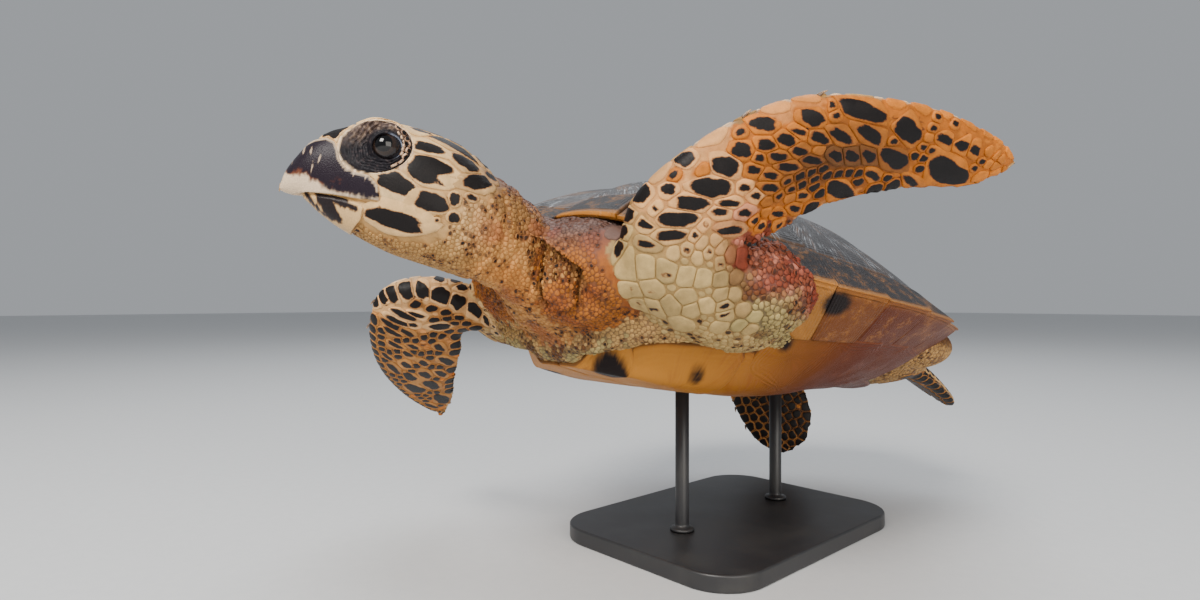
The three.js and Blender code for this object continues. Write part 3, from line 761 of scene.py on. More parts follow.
ball_radius = 9.9
lid_radius = 11.5
lid, opened, lid_angle = lid_share(ahead, up)
dx, dy = ahead - eye_middle[0], up - eye_middle[2]
on_side = np.abs(side) > 8
dome = eye_middle[1] + np.sqrt(np.maximum(lid_radius**2 - dx**2 - dy**2, 0))
gap = dome - np.abs(side)
lidded = (np.abs(side) + dome + np.sqrt(gap * gap + 3.0)) / 2
lidded = np.where(lid < 1.4, lidded + (np.abs(side) - lidded) * ease(0.75, 1.3, lid), np.abs(side))
swirl = np.stack([np.cos(lid_angle) * 2.2, np.sin(lid_angle) * 2.2, lid * 1.5 + side * 0.1], 1)
folds = np.sin(2 * math.pi * (lid * 6.2 + 1.0 * noise_at(swirl, 1.0)))
cracks = noise_at(np.stack([ahead, up, np.sign(side) * 30], 1), 0.75)
lidded += (0.34 * folds + 0.42 * cracks) * ease(0.02, 0.2, lid) * ease(1.02, 0.85, lid)
lidded += -0.8 * np.exp(-(((lid - 0.98) / 0.06) ** 2)) + 0.3 * np.exp(-(((lid - 1.07) / 0.06) ** 2))
ball = eye_middle[1] + np.sqrt(np.maximum(ball_radius**2 - dx**2 - dy**2, 0))
edge = ease(1.0, 1.13, opened)
rolled = ball + 0.25 + (lidded - ball - 0.25) * np.sqrt(edge)
lidded = np.where(opened < 1.13, rolled, lidded)
socket = ball - 1.0 - 9 * np.clip(1 - opened, 0, 1)
lidded = np.where(opened < 1.0, socket, lidded)
outward = np.sign(side)
moved = np.where(on_side & (lid < 1.5) & (ahead > 40), lidded * outward, side)
brow = 3.4 * np.exp(-(((lid - 0.72) / 0.36) ** 2)) * ease(0.15, 0.8, np.sin(lid_angle))
brow *= (on_side & (lid < 2) & (ahead > 40)) * ease(1.0, 1.25, opened)
local = np.stack([moved + outward * 0.45 * brow, -ahead, up + brow], axis=-1)
hide = local @ head_axes.T + nape

# the mouth is a narrow groove; the neck and throat are folded across their length, the armpits are lumpy
put_points(skin.data, hide)
out = normals_of(skin.data)
side, ahead, up = to_head(hide)
from_mouth, _ = from_line(mouth_line, ahead, up)
groove = np.exp(-((from_mouth / 1.0) ** 2)) * ease(24, 34, ahead)
nostril = np.exp(-((np.hypot(np.hypot(ahead - 110.5, up - 0.8) / 1.5, (np.abs(side) - 4.6) / 1.3)) ** 2))
hide = hide - out * (1.6 * groove + 2.6 * nostril)[:, None]
part, u, angle = whereabouts(hide)
stretch = hide * (0.028, 0.13, 0.028)
crease = np.zeros(len(hide))
body_only = ~((part > 0) & (part < 5))
folded = ease(30, 4, ahead) * ease(-150, -188, hide[:, 1]) * body_only
chosen = np.nonzero(folded > 0)[0]
stretch = stretch[chosen]
crease[chosen] = np.hypot(noise_at(stretch, 1.0), 0.09) * 2.2 + 0.35 * noise_at(stretch, 2.7, 5.0)
depth_of = 1.0 + 1.5 * ease(-80, -30, ahead)
hide = hide + out * ((np.minimum(crease, 0.85) - 0.45) * depth_of * folded)[:, None]
pits = np.array([(150, -186, 24), (150, -166, 10), (152, -142, 4), (-120, -150, -6), (-118, -176, 4)])
near_pit = np.exp(-np.min([((hide - pit) ** 2).sum(1) for pit in pits], axis=0) / 34**2)
lumpy = np.nonzero(near_pit > 0.05)[0]
lumps = np.zeros(len(hide))
lumps[lumpy] = noise_at(hide[lumpy], 0.11) + 0.6 * noise_at(hide[lumpy], 0.24, 9.1)
hide = hide + out * (3.0 * near_pit * lumps)[:, None]
hide = lift_over_plastron(tuck_under_shell(hide))
put_points(skin.data, hide)
thinning = skin.modifiers.new("thinning", "DECIMATE")
thinning.ratio = skin_triangles / (2 * len(skin.data.polygons))
thinned = bpy.data.meshes.new_from_object(skin.evaluated_get(bpy.context.evaluated_depsgraph_get()))
skin.modifiers.remove(thinning)
skin.data = thinned
hide = points_of(skin.data)
hide_out = normals_of(skin.data)
side, ahead, up = to_head(hide)
hide_faces = [tuple(face.vertices) for face in skin.data.polygons]
hide_tree = BVHTree.FromPolygons(hide.tolist(), hide_faces)

# ---- scales ----
# Horny scales rooted in the hide: plates on the head, rows along the flippers, fine beads everywhere
# else. First come their places, then their outlines, which meet like paving, and then their meshes.
rng = np.random.default_rng(11)
cream = np.array([0.72, 0.48, 0.23])
pale = np.array([0.74, 0.52, 0.35])
sand = np.array([0.42, 0.235, 0.080])
orange = np.array([0.54, 0.165, 0.016])
umber = np.array([0.13, 0.052, 0.015])
plum = np.array([0.085, 0.050, 0.052])
rust = np.array([0.20, 0.036, 0.018])
olive = np.array([0.36, 0.27, 0.105])
shoulder_part, hip_part, tail_part = (number_of[name] for name in ("shoulders", "hips", "tail"))
nape_parts = [number_of["nape_left"], number_of["nape_right"]]
flank_parts = [number_of["flank_left"], number_of["flank_right"], number_of["trunk"]]
rear_parts = [hip_part, tail_part, number_of["groin_left"], number_of["groin_right"]]


def mixed(a, b, share):
    share = np.clip(np.asarray(share, float), 0, 1)[..., None]
    return a * (1 - share) + b * share


def ventral_face(part, angle):
    """True on the underside of a limb."""
    left = np.isin(part, [number_of["front_flipper_left"], number_of["hind_flipper_left"]])
    return np.where(left, np.sin(angle) > 0, np.sin(angle) < 0)


def ground_tone(points, normals, part, u, angle):
    """The skin's own colour before any dark markings, with the lids below and in front of each eye
    near-black, partly as painted shade, and a painted highlight, a pale blue-white glint, on the rear rim of
    each eye opening.
    """
    _, ahead, up = to_head(points)
    lift = normals[:, 2]
    throat = mixed(mixed(sand, umber, 0.15), mixed(sand, cream, 0.45), ease(-0.75, 0.0, lift))
    tone = mixed(throat, cream, ease(34, 46, ahead) * ease(-0.6, -0.2, lift))
    body = mixed(mixed(sand, orange, 0.28), mixed(umber, sand, 0.35), ease(-0.4, 0.5, lift))
    body = mixed(body, orange, 0.34 * ease(0.05, 0.38, noise_at(points, 0.028, 11.0)))
    blotch = noise_at(points, 0.05, 4.0)
    body = mixed(body, rust, 0.5 * ease(0.1, 0.42, blotch))
    high = lift + 0.45 * ease(4, 30, points[:, 2]) * ease(-262, -236, points[:, 1])
    neck = mixed(body, mixed(plum, pale, 0.07), ease(0.5, 0.85, high))
    tone = mixed(neck, tone, ease(-6, 20, ahead))
    body = mixed(neck, mixed(olive, sand, 0.5), 0.75 * ease(-16, -32, points[:, 2]))
    tone = np.where((part == shoulder_part)[:, None], body, tone)
    hump = mixed(mixed(umber, orange, 0.45), mixed(plum, pale, 0.08), ease(-2, 24, points[:, 2]))
    tone = np.where(np.isin(part, nape_parts)[:, None], mixed(hump, rust, 0.4 * ease(0, 0.4, blotch)), tone)
    tone = np.where(np.isin(part, flank_parts)[:, None], mixed(olive, umber, ease(-0.1, 0.4, blotch)), tone)
    limb = (part > 0) & (part < 5)
    under = ventral_face(part, angle)
    root = mixed(mixed(olive, cream, 0.16), sand, 0.25)
    belly_side = mixed(root, mixed(orange, cream, 0.5), ease(0.22, 0.36, u))
    belly_side = mixed(belly_side, orange, ease(0.35, 0.7, u))
    left_arm = part == number_of["front_flipper_left"]
    inner_side = ease(80, 30, np.degrees(angle)) * ease(0.5, 0.4, u) * left_arm
    belly_side = mixed(belly_side, umber, 0.85 * inner_side * ease(0.1, 0.22, u))
    back_side = mixed(mixed(sand, umber, 0.5), sand, ease(0.1, 0.5, u))
    tone = np.where(limb[:, None], np.where(under[:, None], belly_side, back_side), tone)
    tone = np.where(np.isin(part, rear_parts)[:, None], mixed(umber, sand, ease(0.5, -0.5, lift)), tone)
    near = np.exp(-np.min([((points - pit) ** 2).sum(1) for pit in pits], axis=0) / 30**2)
    speckle = noise_at(points, 0.21, 7.7)
    granule = mixed(rust, (0.44, 0.15, 0.10), ease(0.0, 0.5, speckle))
    tone = mixed(tone, granule, 0.92 * ease(0.3, 0.65, near))
    clot = np.exp(-((points - (92, -218, 0)) ** 2).sum(1) / 22**2) + 0.5 * noise_at(points, 0.16, 2.2)
    tone = mixed(tone, (0.10, 0.012, 0.012), 0.9 * ease(0.5, 0.8, clot))
    lid, _, turn = lid_share(ahead, up)
    lid = np.where((part == 0) & (ahead > 40), lid, 9)
    # the lids are tan above each eye and near-black below and in front: partly their own dark scales, partly
    # painted shade
    upper = ease(0.0, 0.75, np.sin(turn + 0.25))
    taupe = mixed((0.055, 0.034, 0.028), (0.25, 0.17, 0.12), ease(-0.15, 0.5, noise_at(points, 0.5, 3.3)))
    lids = mixed((0.007, 0.006, 0.009), taupe, upper * ease(0.2, 0.62, lid))
    lids = mixed(lids, (0.07, 0.05, 0.05), 0.5 * ease(0.2, 0.5, noise_at(points, 0.7, 6.1)))
    tone = mixed(tone, lids, ease(1.02, 0.98, lid))
    # painted highlight: a pale blue-white glint along the rear rim of each eye opening
    painted_glint = np.exp(-((lid / 0.07) ** 2)) * ease(-0.1, -0.7, np.cos(turn + 0.3))
    tone = mixed(tone, (0.50, 0.56, 0.72), 0.9 * painted_glint * (lid < 9))
    return mixed(tone, (0.86, 0.66, 0.46), 0.95 * np.exp(-(((lid - 1.035) / 0.035) ** 2)))


upper_shape = np.array([
    (66, -28.4), (79, -28.9), (93, -28.4), (108, -28.6), (119, -30.4), (140, -33), (140, -8), (120, -5),
    (113, -0.5), (107.7, 2.6), (101, 4.4), (95.8, 2.4), (93.4, -2.2), (91.8, -7.2), (87.6, -12),
    (81, -14.4), (73.2, -15.4), (68.0, -20.5)])
lower_shape = np.array([
    (74.5, -34), (80, -32.4), (93, -31), (108, -31.2), (126, -33), (126, -62), (90, -62), (80, -48),
    (75, -41)])


def inside_shape(shape, x, y):
    """Distance inside a closed shape (negative outside)."""
    closed = np.vstack([shape, shape[:1]])
    far, _ = from_line(closed, x, y)
    hit = np.zeros(len(x), bool)
    for (x0, y0), (x1, y1) in zip(closed[:-1], closed[1:]):
        crosses = (y0 > y) != (y1 > y)
        at_x = x0 + (y - y0) * (x1 - x0) / (y1 - y0 if y1 != y0 else 1e-9)
        hit ^= crosses & (x < at_x)
    return np.where(hit, far, -far)


scale_keys = ("at", "out", "along", "half", "tone", "patch", "border", "dark", "lift", "reach")
scales = {key: [] for key in scale_keys}
own_ground = (-1, -1, -1)
no_patch = (0, 0, 99, 99, 0)


def keep_scale(**values):
    for key, value in values.items():
        scales[key].append(value)


def plant(at, along, half, tone=None, border=1.2, dark=1.0, patch=None, lift=1.1, reach=1.25):
    """One scale rooted at the nearest place on the hide.

    patch is its dark part: (x, y, half x, half y, notch), in millimetres from the scale's middle.
    """
    at, normal, _, _ = hide_tree.find_nearest(Vector(at))
    along = Vector(along) - Vector(along).dot(normal) * normal
    keep_scale(at=tuple(at), out=tuple(normal), along=tuple(along.normalized()), half=half,
               tone=own_ground if tone is None else tuple(tone), border=border, dark=dark,
               patch=patch or no_patch, lift=lift, reach=reach)


def on_head(local, direction):
    start = Vector(head_axes @ local + nape)
    return hide_tree.ray_cast(start, Vector(head_axes @ direction))[0]


# plates of the head's side: ahead, up, length and width of the dark part, rise to the back, notch
side_plates = [
    (48, 19, 13, 5, -12, 0), (42, 7.6, 17.5, 7.4, -2, 0), (27, 13.2, 34, 8, -17, 0),
    (39, -6.4, 28, 17, -7, 3.4), (19.3, 3.2, 19, 9.5, -18, 0), (11, -7, 20, 10.5, 24, 0),
    (58.2, -16.8, 23, 11.5, -20, 0), (36, -25, 19, 11, -6, 0), (56, -38.3, 35, 11, -4, 0),
    (23.2, -20.8, 6, 7.4, 0, 0), (13.2, -18, 7, 3.6, -5, 0), (22, -31.7, 6.6, 6, 12, 0),
    (31.6, -34.8, 2.2, 2, 0, 0), (76.3, -46, 6, 2.4, 0, 0), (3, 10, 10, 6, -25, 0),
    (-4, 2, 8, 5, -25, 0),
]
for flank in (1, -1):
    for ahead_at, up_at, length, width, rise, notch in side_plates:
        shift = (0, 0) if flank > 0 else rng.normal(0, 0.9, 2)
        at = on_head((flank * 70, -ahead_at - shift[0], up_at + shift[1]), (-flank, 0, 0))
        if at is None:
            continue
        tilt = math.radians(rise)
        small = length < 9
        half = (length / 2 + (1.2 if small else 1.9), width / 2 + (1.2 if small else 1.9))
        plant(at, head_axes @ (0, math.cos(tilt), math.sin(tilt)), half, border=0.7,
              dark=1.0, patch=(0, 0, length / 2, width / 2, notch),
              lift=1.0, reach=1.15 if small else 1.75)

# plates of the crown, each side of the middle: side, ahead, length, width
for across, ahead_at, length, width in [(8.4, 96, 18, 15), (4.6, 110, 8.5, 8.5), (0, 84, 9, 8),
                                        (9.6, 75, 16, 8.5), (0, 62.5, 21, 16), (6.8, 43, 17, 11),
                                        (5.6, 25, 16, 10), (5, 9, 12, 9), (13.5, 3, 9, 7)]:
    for flank in ((1, -1) if across else (1,)):
        at = on_head((flank * across, -ahead_at, 60), (0, 0, -1))
        plant(at, head_axes @ (-0.12 * flank * (across > 0), 1, 0), (length / 2 + 1.3, width / 2 + 1.3),
              border=0.8, patch=(0, 0, length / 2, width / 2, 0), lift=1.0, reach=1.6)

# two rows of small plates behind and below each eye
for flank in (1, -1):
    for row, count, start, sweep in ((0.885, 8, 138, 118), (0.76, 6, 150, 70)):
        for k in range(count):
            turn = math.radians(start + k * sweep / count)
            along, across = math.cos(turn) * orbit_half[0] * row, math.sin(turn) * orbit_half[1] * row
            c, s = math.cos(orbit_tilt), math.sin(orbit_tilt)
            at = (orbit_middle[0] + along * c + across * s, orbit_middle[1] - along * s + across * c)
            hit = on_head((flank * 70, -at[0], at[1]), (-flank, 0, 0))
            size = rng.uniform(1.7, 2.0) * (1 if row > 0.8 else 0.6)
            plant(hit, head_axes @ (0, math.sin(turn) * orbit_half[0], math.cos(turn) * orbit_half[1]),
                  (size * 1.25, size * 0.9), tone=pale, border=0.28, dark=1.0 if row > 0.8 else 0.7,
                  lift=0.9, reach=1.1)


def here_of(line, us, at_u):
    return [np.interp(at_u, us, line[:, i]) for i in range(3)]


def rows_on(name, under, rows, first, last, look):
    """Rows of scales along a limb: (distance in from the leading edge, step, half width).

    A distance below 0 is taken from the trailing edge.
    """
    place = flipper(name, 0)
    form = through(limb_rows[name])
    face = 1 if under == name.endswith("left") else -1
    us = np.linspace(first, last, 240)
    row = form(us)
    chord = np.linalg.norm(row[:, 3:6] - row[:, :3], axis=1)
    for number, (offset, step, half) in enumerate(rows):
        c = np.clip(2 * offset / chord - 1 if offset > 0 else 1 + 2 * offset / chord, -1, 1)
        turn = np.arccos(c) * face % (2 * math.pi)
        line = place(us, turn)
        run = np.concatenate([[0], np.cumsum(np.linalg.norm(np.diff(line, axis=0), axis=1))])
        s = step * (0.3 + 0.5 * (number % 2))
        while s < run[-1]:
            at_u = float(np.interp(s, run, us))
            length = float(np.interp(at_u, us, chord))
            size = np.clip(0.62 + 0.38 * length / 70, 0.6, 1.0)
            inside = offset if offset > 0 else length + offset
            room = (offset < 0 or inside < length - 12) and (
                look not in (pale_face, far_face)
                or is_free(here_of(line, us, at_u), (step / 2 * size, half * size)))
            if room:
                k = int(np.searchsorted(us, at_u))
                here = np.array(here_of(line, us, at_u))
                ahead_on = line[min(k + 2, 239)] - line[max(k - 2, 0)]
                settings = look(number, at_u, inside / length, len(rows))
                if settings is not None:
                    inward = form([at_u])[0]
                    settings["patch"] = settings.get("patch") or no_patch
                    x, y, px, py, notch = settings["patch"]
                    out_of = hide_tree.find_nearest(Vector(here))[1]
                    turned = np.sign(np.cross(out_of, ahead_on) @ (inward[3:6] - inward[:3]))
                    settings["patch"] = (x, y * turned, px, py, notch)
                    loose = 1.4 if at_u < 0.27 and look is pale_face else 0.35
                    plant(here + rng.normal(0, loose, 3), ahead_on, (step / 2 * size, half * size),
                          **settings)
            s += step * size * rng.uniform(0.9, 1.1)


def is_free(at, size):
    """True where a scale of this size would not sit on one that is planted already."""
    offset = np.array(at) - np.array(scales["at"])
    along, out = np.array(scales["along"]), np.array(scales["out"])
    half = np.array(scales["half"]) + np.array(size) * 0.75
    x, y = (offset * along).sum(1), (offset * np.cross(out, along)).sum(1)
    return bool(((x / half[:, 0]) ** 2 + (y / half[:, 1]) ** 2 + ((offset * out).sum(1) / 9) ** 2 > 1).all())


# the near front flipper's pale face: its black marks, as
# (share of the limb, turn round it in degrees, length, width, slant in degrees)
near_marks = [
    (0.254, 128, 10, 4, 78), (0.286, 107, 17, 6, 65), (0.287, 134, 9, 5, 76), (0.318, 110, 23, 8.5, 59),
    (0.355, 112, 18.5, 8, 55), (0.354, 140, 8, 6, 53), (0.395, 115, 23.5, 11, 50),
    (0.434, 125, 16, 10.5, 50), (0.465, 131, 11, 8, 47), (0.508, 148, 14.5, 7.5, 35),
    (0.569, 136, 15, 8.5, 43), (0.644, 140, 35, 10, 19), (0.712, 117, 24, 12, 28),
    (0.785, 112, 15, 5, 12), (0.82, 110, 15, 6, 12), (0.855, 107, 13, 5, 12), (0.496, 124, 10.5, 6, 39),
    (0.522, 121, 11.5, 6.5, 43), (0.543, 124, 10, 3, 37), (0.568, 112, 13.5, 5.5, 43),
    (0.601, 110, 18.5, 6, 40), (0.648, 110, 21.5, 7.5, 37), (0.478, 115, 6, 4, 45),
    (0.501, 108, 12, 4.5, 37), (0.532, 105, 10.5, 4.5, 39), (0.461, 108, 8.5, 4.5, 45),
    (0.506, 95, 14.5, 5, 37), (0.545, 92, 14.5, 5, 35), (0.585, 90, 12, 5.5, 44), (0.613, 87, 13, 6, 41),
    (0.644, 85, 13, 6, 44), (0.692, 81, 27, 10, 30), (0.476, 95, 9.5, 4, 42), (0.432, 97, 7, 4, 43),
    (0.465, 84, 12.5, 4.5, 44), (0.438, 84, 6.5, 4, 56), (0.393, 92, 12.5, 4, 44), (0.369, 89, 10, 4, 48),
    (0.399, 74, 9.5, 4.5, 53), (0.448, 50, 10, 4, 52), (0.482, 45, 9, 4, 52), (0.507, 58, 8.5, 4, 38),
    (0.342, 66, 19, 4.5, 49), (0.581, 44, 29.5, 10, 47), (0.652, 59, 15, 4.5, 38),
    (0.737, 43, 17.5, 4.5, 38), (0.814, 63, 39, 15, 22), (0.222, 172, 12, 8, 20),
    (0.25, 170, 13, 8.5, 40), (0.284, 170, 14, 9, 60), (0.326, 168, 14, 12, 70), (0.402, 164, 13, 9, 66),
]
near_place = flipper("front_flipper_left", 0)


def on_flipper(place, u, degrees_round, slant):
    """The place on a limb, and the heading turned by slant from the limb's run to its trailing edge."""
    turn, slant = math.radians(degrees_round), math.radians(slant)
    here, ahead_of, behind = place(np.array([u, min(u + 0.01, 1), u - 0.01]), np.full(3, turn))
    nearer = 0.05 if degrees_round > 180 else -0.05
    back, fore = place(np.array([u, u]), np.array([turn - nearer, turn + nearer]))
    return here, math.cos(slant) * unit(ahead_of - behind) + math.sin(slant) * unit(fore - back)


for u_at, degrees_round, length, width, slant in near_marks:
    here, heading = on_flipper(near_place, u_at, degrees_round, slant)
    shading = math.exp(-(((u_at - 0.6) / 0.13) ** 2 + ((degrees_round - 88) / 24) ** 2))
    edge_tone = mixed(mixed(orange, umber, 0.15), umber, shading) if 0.44 < u_at < 0.8 else None
    plant(here, heading, (length / 2 + 1.4, width / 2 + 1.3), tone=edge_tone, border=0.8,
          patch=(0, 0, length / 2, width / 2, 0), lift=1.0, reach=2.0)
for degrees_round, pitch, half in ((178, 0.042, (10, 8.5)), (152, 0.047, (10, 7)), (205, 0.05, (9, 7))):
    for u_at in np.arange(0.2, 0.965, pitch):
        here, heading = on_flipper(near_place, u_at, degrees_round, 0)
        size = (half[0] * (1.05 - 0.4 * u_at), half[1] * (1.05 - 0.5 * u_at))
        if is_free(here, size):
            plant(here, heading, size, dark=0.0, border=1.2, lift=1.0, reach=2.0)


# the far front flipper's pale face, in the same way: large scales along its front, bars behind
far_marks = [
    (0.487, 190, 10, 10, 41), (0.45, 197, 9, 15, 0), (0.418, 204, 9, 17, 0), (0.378, 210, 10, 17, 0),
    (0.347, 220, 16, 10, 85), (0.32, 239, 15.5, 12.5, -58), (0.296, 259, 15, 12, -83),
    (0.272, 276, 17, 9, -72), (0.252, 296, 15, 7, -73), (0.294, 192, 12, 9, 71), (0.258, 196, 11, 8, 59),
    (0.262, 226, 10, 7, -18), (0.449, 247, 22, 6.5, -79), (0.42, 257, 13, 4.5, -66),
    (0.49, 243, 21, 5.5, -85), (0.518, 238, 20, 6, 87), (0.522, 257, 17, 5, 73),
    (0.545, 240, 18, 5.5, 80), (0.415, 292, 16, 9, -42), (0.474, 262, 7, 4.5, -64),
    (0.756, 259, 18.5, 8.5, 19), (0.831, 256, 25, 12, 31), (0.8, 288, 24, 10.5, 23),
    (0.734, 283, 16, 8, 30), (0.904, 299, 29, 12, 18), (0.936, 254, 24, 5, 25), (0.638, 315, 19, 8.5, 47),
    (0.727, 238, 22, 6, 22), (0.67, 232, 14, 4.5, 41), (0.69, 259, 13, 6.5, 30), (0.665, 282, 12, 6, 34),
    (0.56, 300, 14, 6, 40), (0.72, 308, 15, 7, 34), (0.6, 246, 14, 5.5, 66), (0.63, 262, 11, 5.5, 50),
    (0.585, 268, 11, 5, 60),
]
far_place = flipper("front_flipper_right", 0)
for u_at, degrees_round, length, width, slant in far_marks:
    here, heading = on_flipper(far_place, u_at, degrees_round, slant)
    edge_tone = mixed(cream, orange, 0.25) if u_at < 0.5 else mixed(sand, orange, 0.35)
    plant(here, heading, (length / 2 + 1.2, width / 2 + 1.1), tone=edge_tone, border=0.7,
          patch=(0, 0, length / 2, width / 2, 0), lift=1.0, reach=1.8)


def pale_face(number, u, f, count):
    """Between the listed marks: plain orange in front and at the tip, dark narrow scales behind."""
    if u > 0.88:
        return dict(border=1.0, dark=0.0, tone=orange, reach=1.5)
    if u < 0.33:
        return dict(border=1.7, dark=float(rng.random() < 0.35), reach=1.5,
                    patch=(rng.uniform(-2, 2), 0, rng.uniform(1, 1.6), rng.uniform(1.5, 3.5), 0))
    tone = mixed(orange, umber, 0.2 + 0.65 * np.exp(-(((u - 0.56) / 0.12) ** 2 + ((f - 0.6) / 0.24) ** 2)))
    if f > 0.55 and 0.5 < u < 0.82:
        return dict(border=0.9, dark=1.0, tone=tone)
    return dict(border=0.8, dark=float(rng.random() < 0.6), tone=tone, patch=(0, 0, 2.6, 1.7, 0))


def far_face(number, u, f, count):
    """Between the far flipper's listed marks: short dark bars on tan, plain pale skin towards the root."""
    if u < 0.3:
        return dict(border=1.0, dark=float(rng.random() < 0.4), tone=mixed(cream, sand, 0.5),
                    patch=(0, 0, 2.4, 2, 0))
    return dict(border=0.8, dark=1.0, tone=mixed(sand, orange, 0.3))


def dark_face(number, u, f, count):
    """The upper face, and the lower one of the far flipper: near-black scales with pale borders."""
    if number == 0:
        return dict(border=1.5, dark=1.0, tone=mixed(cream, pale, 0.6))
    if number == count - 1:
        return dict(border=1.3, dark=1.0, tone=mixed(cream, sand, 0.5))
    return dict(border=1.15, dark=1.0, tone=mixed(cream, sand, 0.6))


def hind_under(number, u, f, count):
    tone = mixed(mixed(sand, orange, 0.35), (0.12, 0.07, 0.02), 0.25)
    return dict(border=0.75 if f < 0.4 else 0.5, dark=1.0, tone=tone)


def hind_over(number, u, f, count):
    return dict(border=1.2, dark=1.0, tone=mixed(sand, cream, 0.4))


root_rows = [(4, 13, 7), (16, 14, 7), (29, 13, 6.4), (41, 11, 5.6), (52, 10, 5.2), (62.5, 9, 4.8),
             (72, 8, 4.4), (80.5, 8, 4.2)]
fill_rows = [(5, 9, 3.6), (12, 8.5, 3.4), (19, 8, 3.3), (26, 8, 3.2), (33, 8, 3.1), (40, 8, 3.1),
             (46.5, 8, 3.1), (53, 8, 3.1), (59.5, 8.5, 3.3), (66, 9, 3.6), (-5.5, 12, 5)]
back_rows = [(8, 15, 8), (21.5, 11.5, 6.2), (32.6, 10.5, 5.4), (42.8, 10, 5.2), (52.8, 10, 5.2),
             (62.8, 10, 5.2), (72.8, 10, 5.0), (-6.4, 13, 6.4)]
bar_rows = [(4, 11, 4.5), (12, 9, 3.6), (19, 9, 3.5), (26, 9, 3.4), (33, 9, 3.4), (40, 9, 3.4),
            (47, 9, 3.4), (54, 9, 3.4), (61, 9, 3.6), (-5.6, 12, 5)]
hind_rows = [(6.6, 12, 6.4), (17.6, 10.5, 5.3), (27.6, 10, 5.1), (37.6, 10, 5.1), (47.4, 10, 5.0),
             (57, 10, 5.0), (67, 10, 5.0), (77, 10, 5.0), (-6, 11, 5.8)]
broad_rows = [(3.2, 13, 8), (18.5, 12.5, 8), (34.5, 12, 8), (50, 11.5, 7.6), (65, 11, 7.5), (-8, 12, 7.6)]
rows_on("front_flipper_left", True, root_rows, 0.12, 0.25, pale_face)
rows_on("front_flipper_left", True, fill_rows, 0.25, 0.975, pale_face)
rows_on("front_flipper_left", False, back_rows, 0.13, 0.985, dark_face)
rows_on("front_flipper_right", True, bar_rows, 0.16, 0.975, far_face)
rows_on("front_flipper_right", False, back_rows, 0.15, 0.985, dark_face)
for limb in ("hind_flipper_left", "hind_flipper_right"):
    rows_on(limb, True, broad_rows if limb.endswith("left") else hind_rows, 0.25, 0.98, hind_under)
    rows_on(limb, False, hind_rows, 0.2, 0.98, hind_over)

# fine beads are scattered over all of the bare hide, each as large as its place asks for
corners = np.array([(f[0], f[i], f[i + 1]) for f in hide_faces for i in range(1, len(f) - 1)])
first, second, third = (hide[corners[:, i]] for i in range(3))
area = np.linalg.norm(np.cross(second - first, third - first), axis=1) / 2
middles = (first + second + third) / 3
share, around = place_in_plan(*middles[:, :2].T)
side_in = np.interp(middles[:, 1], plastron_y, plastron_x, left=-50, right=-50)
facing_up = np.cross(second - first, third - first)[:, 2] > -0.2 * 2 * area
buried = (share < 0.8) & (facing_up | (np.abs(middles[:, 0]) < side_in - 6) | (np.abs(middles[:, 1]) < 44))
buried |= (share < 0.93) & (middles[:, 2] > dome_z(share, around) - 16) & facing_up
_, middle_ahead, middle_up = to_head(middles)
in_orbit = (lid_share(middle_ahead, middle_up)[0] < 1.3) & (middle_ahead > 40)
under_horn = (inside_shape(upper_shape, middle_ahead, middle_up) > -3.0) | (
    inside_shape(lower_shape, middle_ahead, middle_up) > -1.0) | (
    (from_line(mouth_line, middle_ahead, middle_up)[0] < 3.5) & (middle_ahead > 30))
weight = np.where(buried | in_orbit | (under_horn & (middle_ahead > 30)), 0, area)
area_per_dart = 0.9
count = int(weight.sum() / area_per_dart)
picked = rng.choice(len(corners), count, p=weight / weight.sum())
r1, r2 = np.sqrt(rng.random(count)), rng.random(count)
darts = (first[picked] * (1 - r1)[:, None] + second[picked] * (r1 * (1 - r2))[:, None]
         + third[picked] * (r1 * r2)[:, None])
dart_out = unit(np.cross(second - first, third - first))[picked]
dart_part, _, dart_angle = whereabouts(darts)
_, dart_ahead, _ = to_head(darts)
near = np.exp(-np.min([((darts - pit) ** 2).sum(1) for pit in pits], axis=0) / 36**2)
bead_half = (0.52, 0.68)  # share of the spacing
spacing = np.full(count, 3.1)
spacing = np.where(dart_part == 0, 2.3 + 0.6 * ease(25, -40, dart_ahead), spacing)
spacing = np.where(dart_part == shoulder_part, 2.8, spacing)
spacing = np.where(np.isin(dart_part, nape_parts), 2.7, spacing)
spacing = np.where((dart_part > 0) & (dart_part < 5), 3.6, spacing)
spacing = np.where(near > 0.35, 3.4, spacing)
alive = np.ones(count, bool)
dart_tree = tree_of(darts)
for at, out, along, half, wide in zip(scales["at"], scales["out"], scales["along"], scales["half"],
                                      scales["reach"]):
    half = (half[0] * (wide - 0.1), half[1] * (wide - 0.1))
    reach = max(half) + 4
    found = np.array([i for _, i, _ in dart_tree.find_range(at, reach)], int)
    if not len(found):
        continue
    offset = darts[found] - at
    x, y = offset @ along, offset @ np.cross(out, along)
    grown = spacing[found] * 0.42
    covered = (x / (half[0] + grown)) ** 2 + (y / (half[1] + grown)) ** 2 < 1
    alive[found[covered & (dart_out[found] @ out > 0.1)]] = False
chosen = []
for index in range(count):
    if alive[index]:
        chosen.append(index)
        near_by = np.array([i for _, i, _ in dart_tree.find_range(darts[index], spacing[index] * 0.86)])
        alive[near_by[dart_out[near_by] @ dart_out[index] > 0.0]] = False
chosen = np.array(chosen)
limb_dart = (dart_part > 0) & (dart_part < 5)
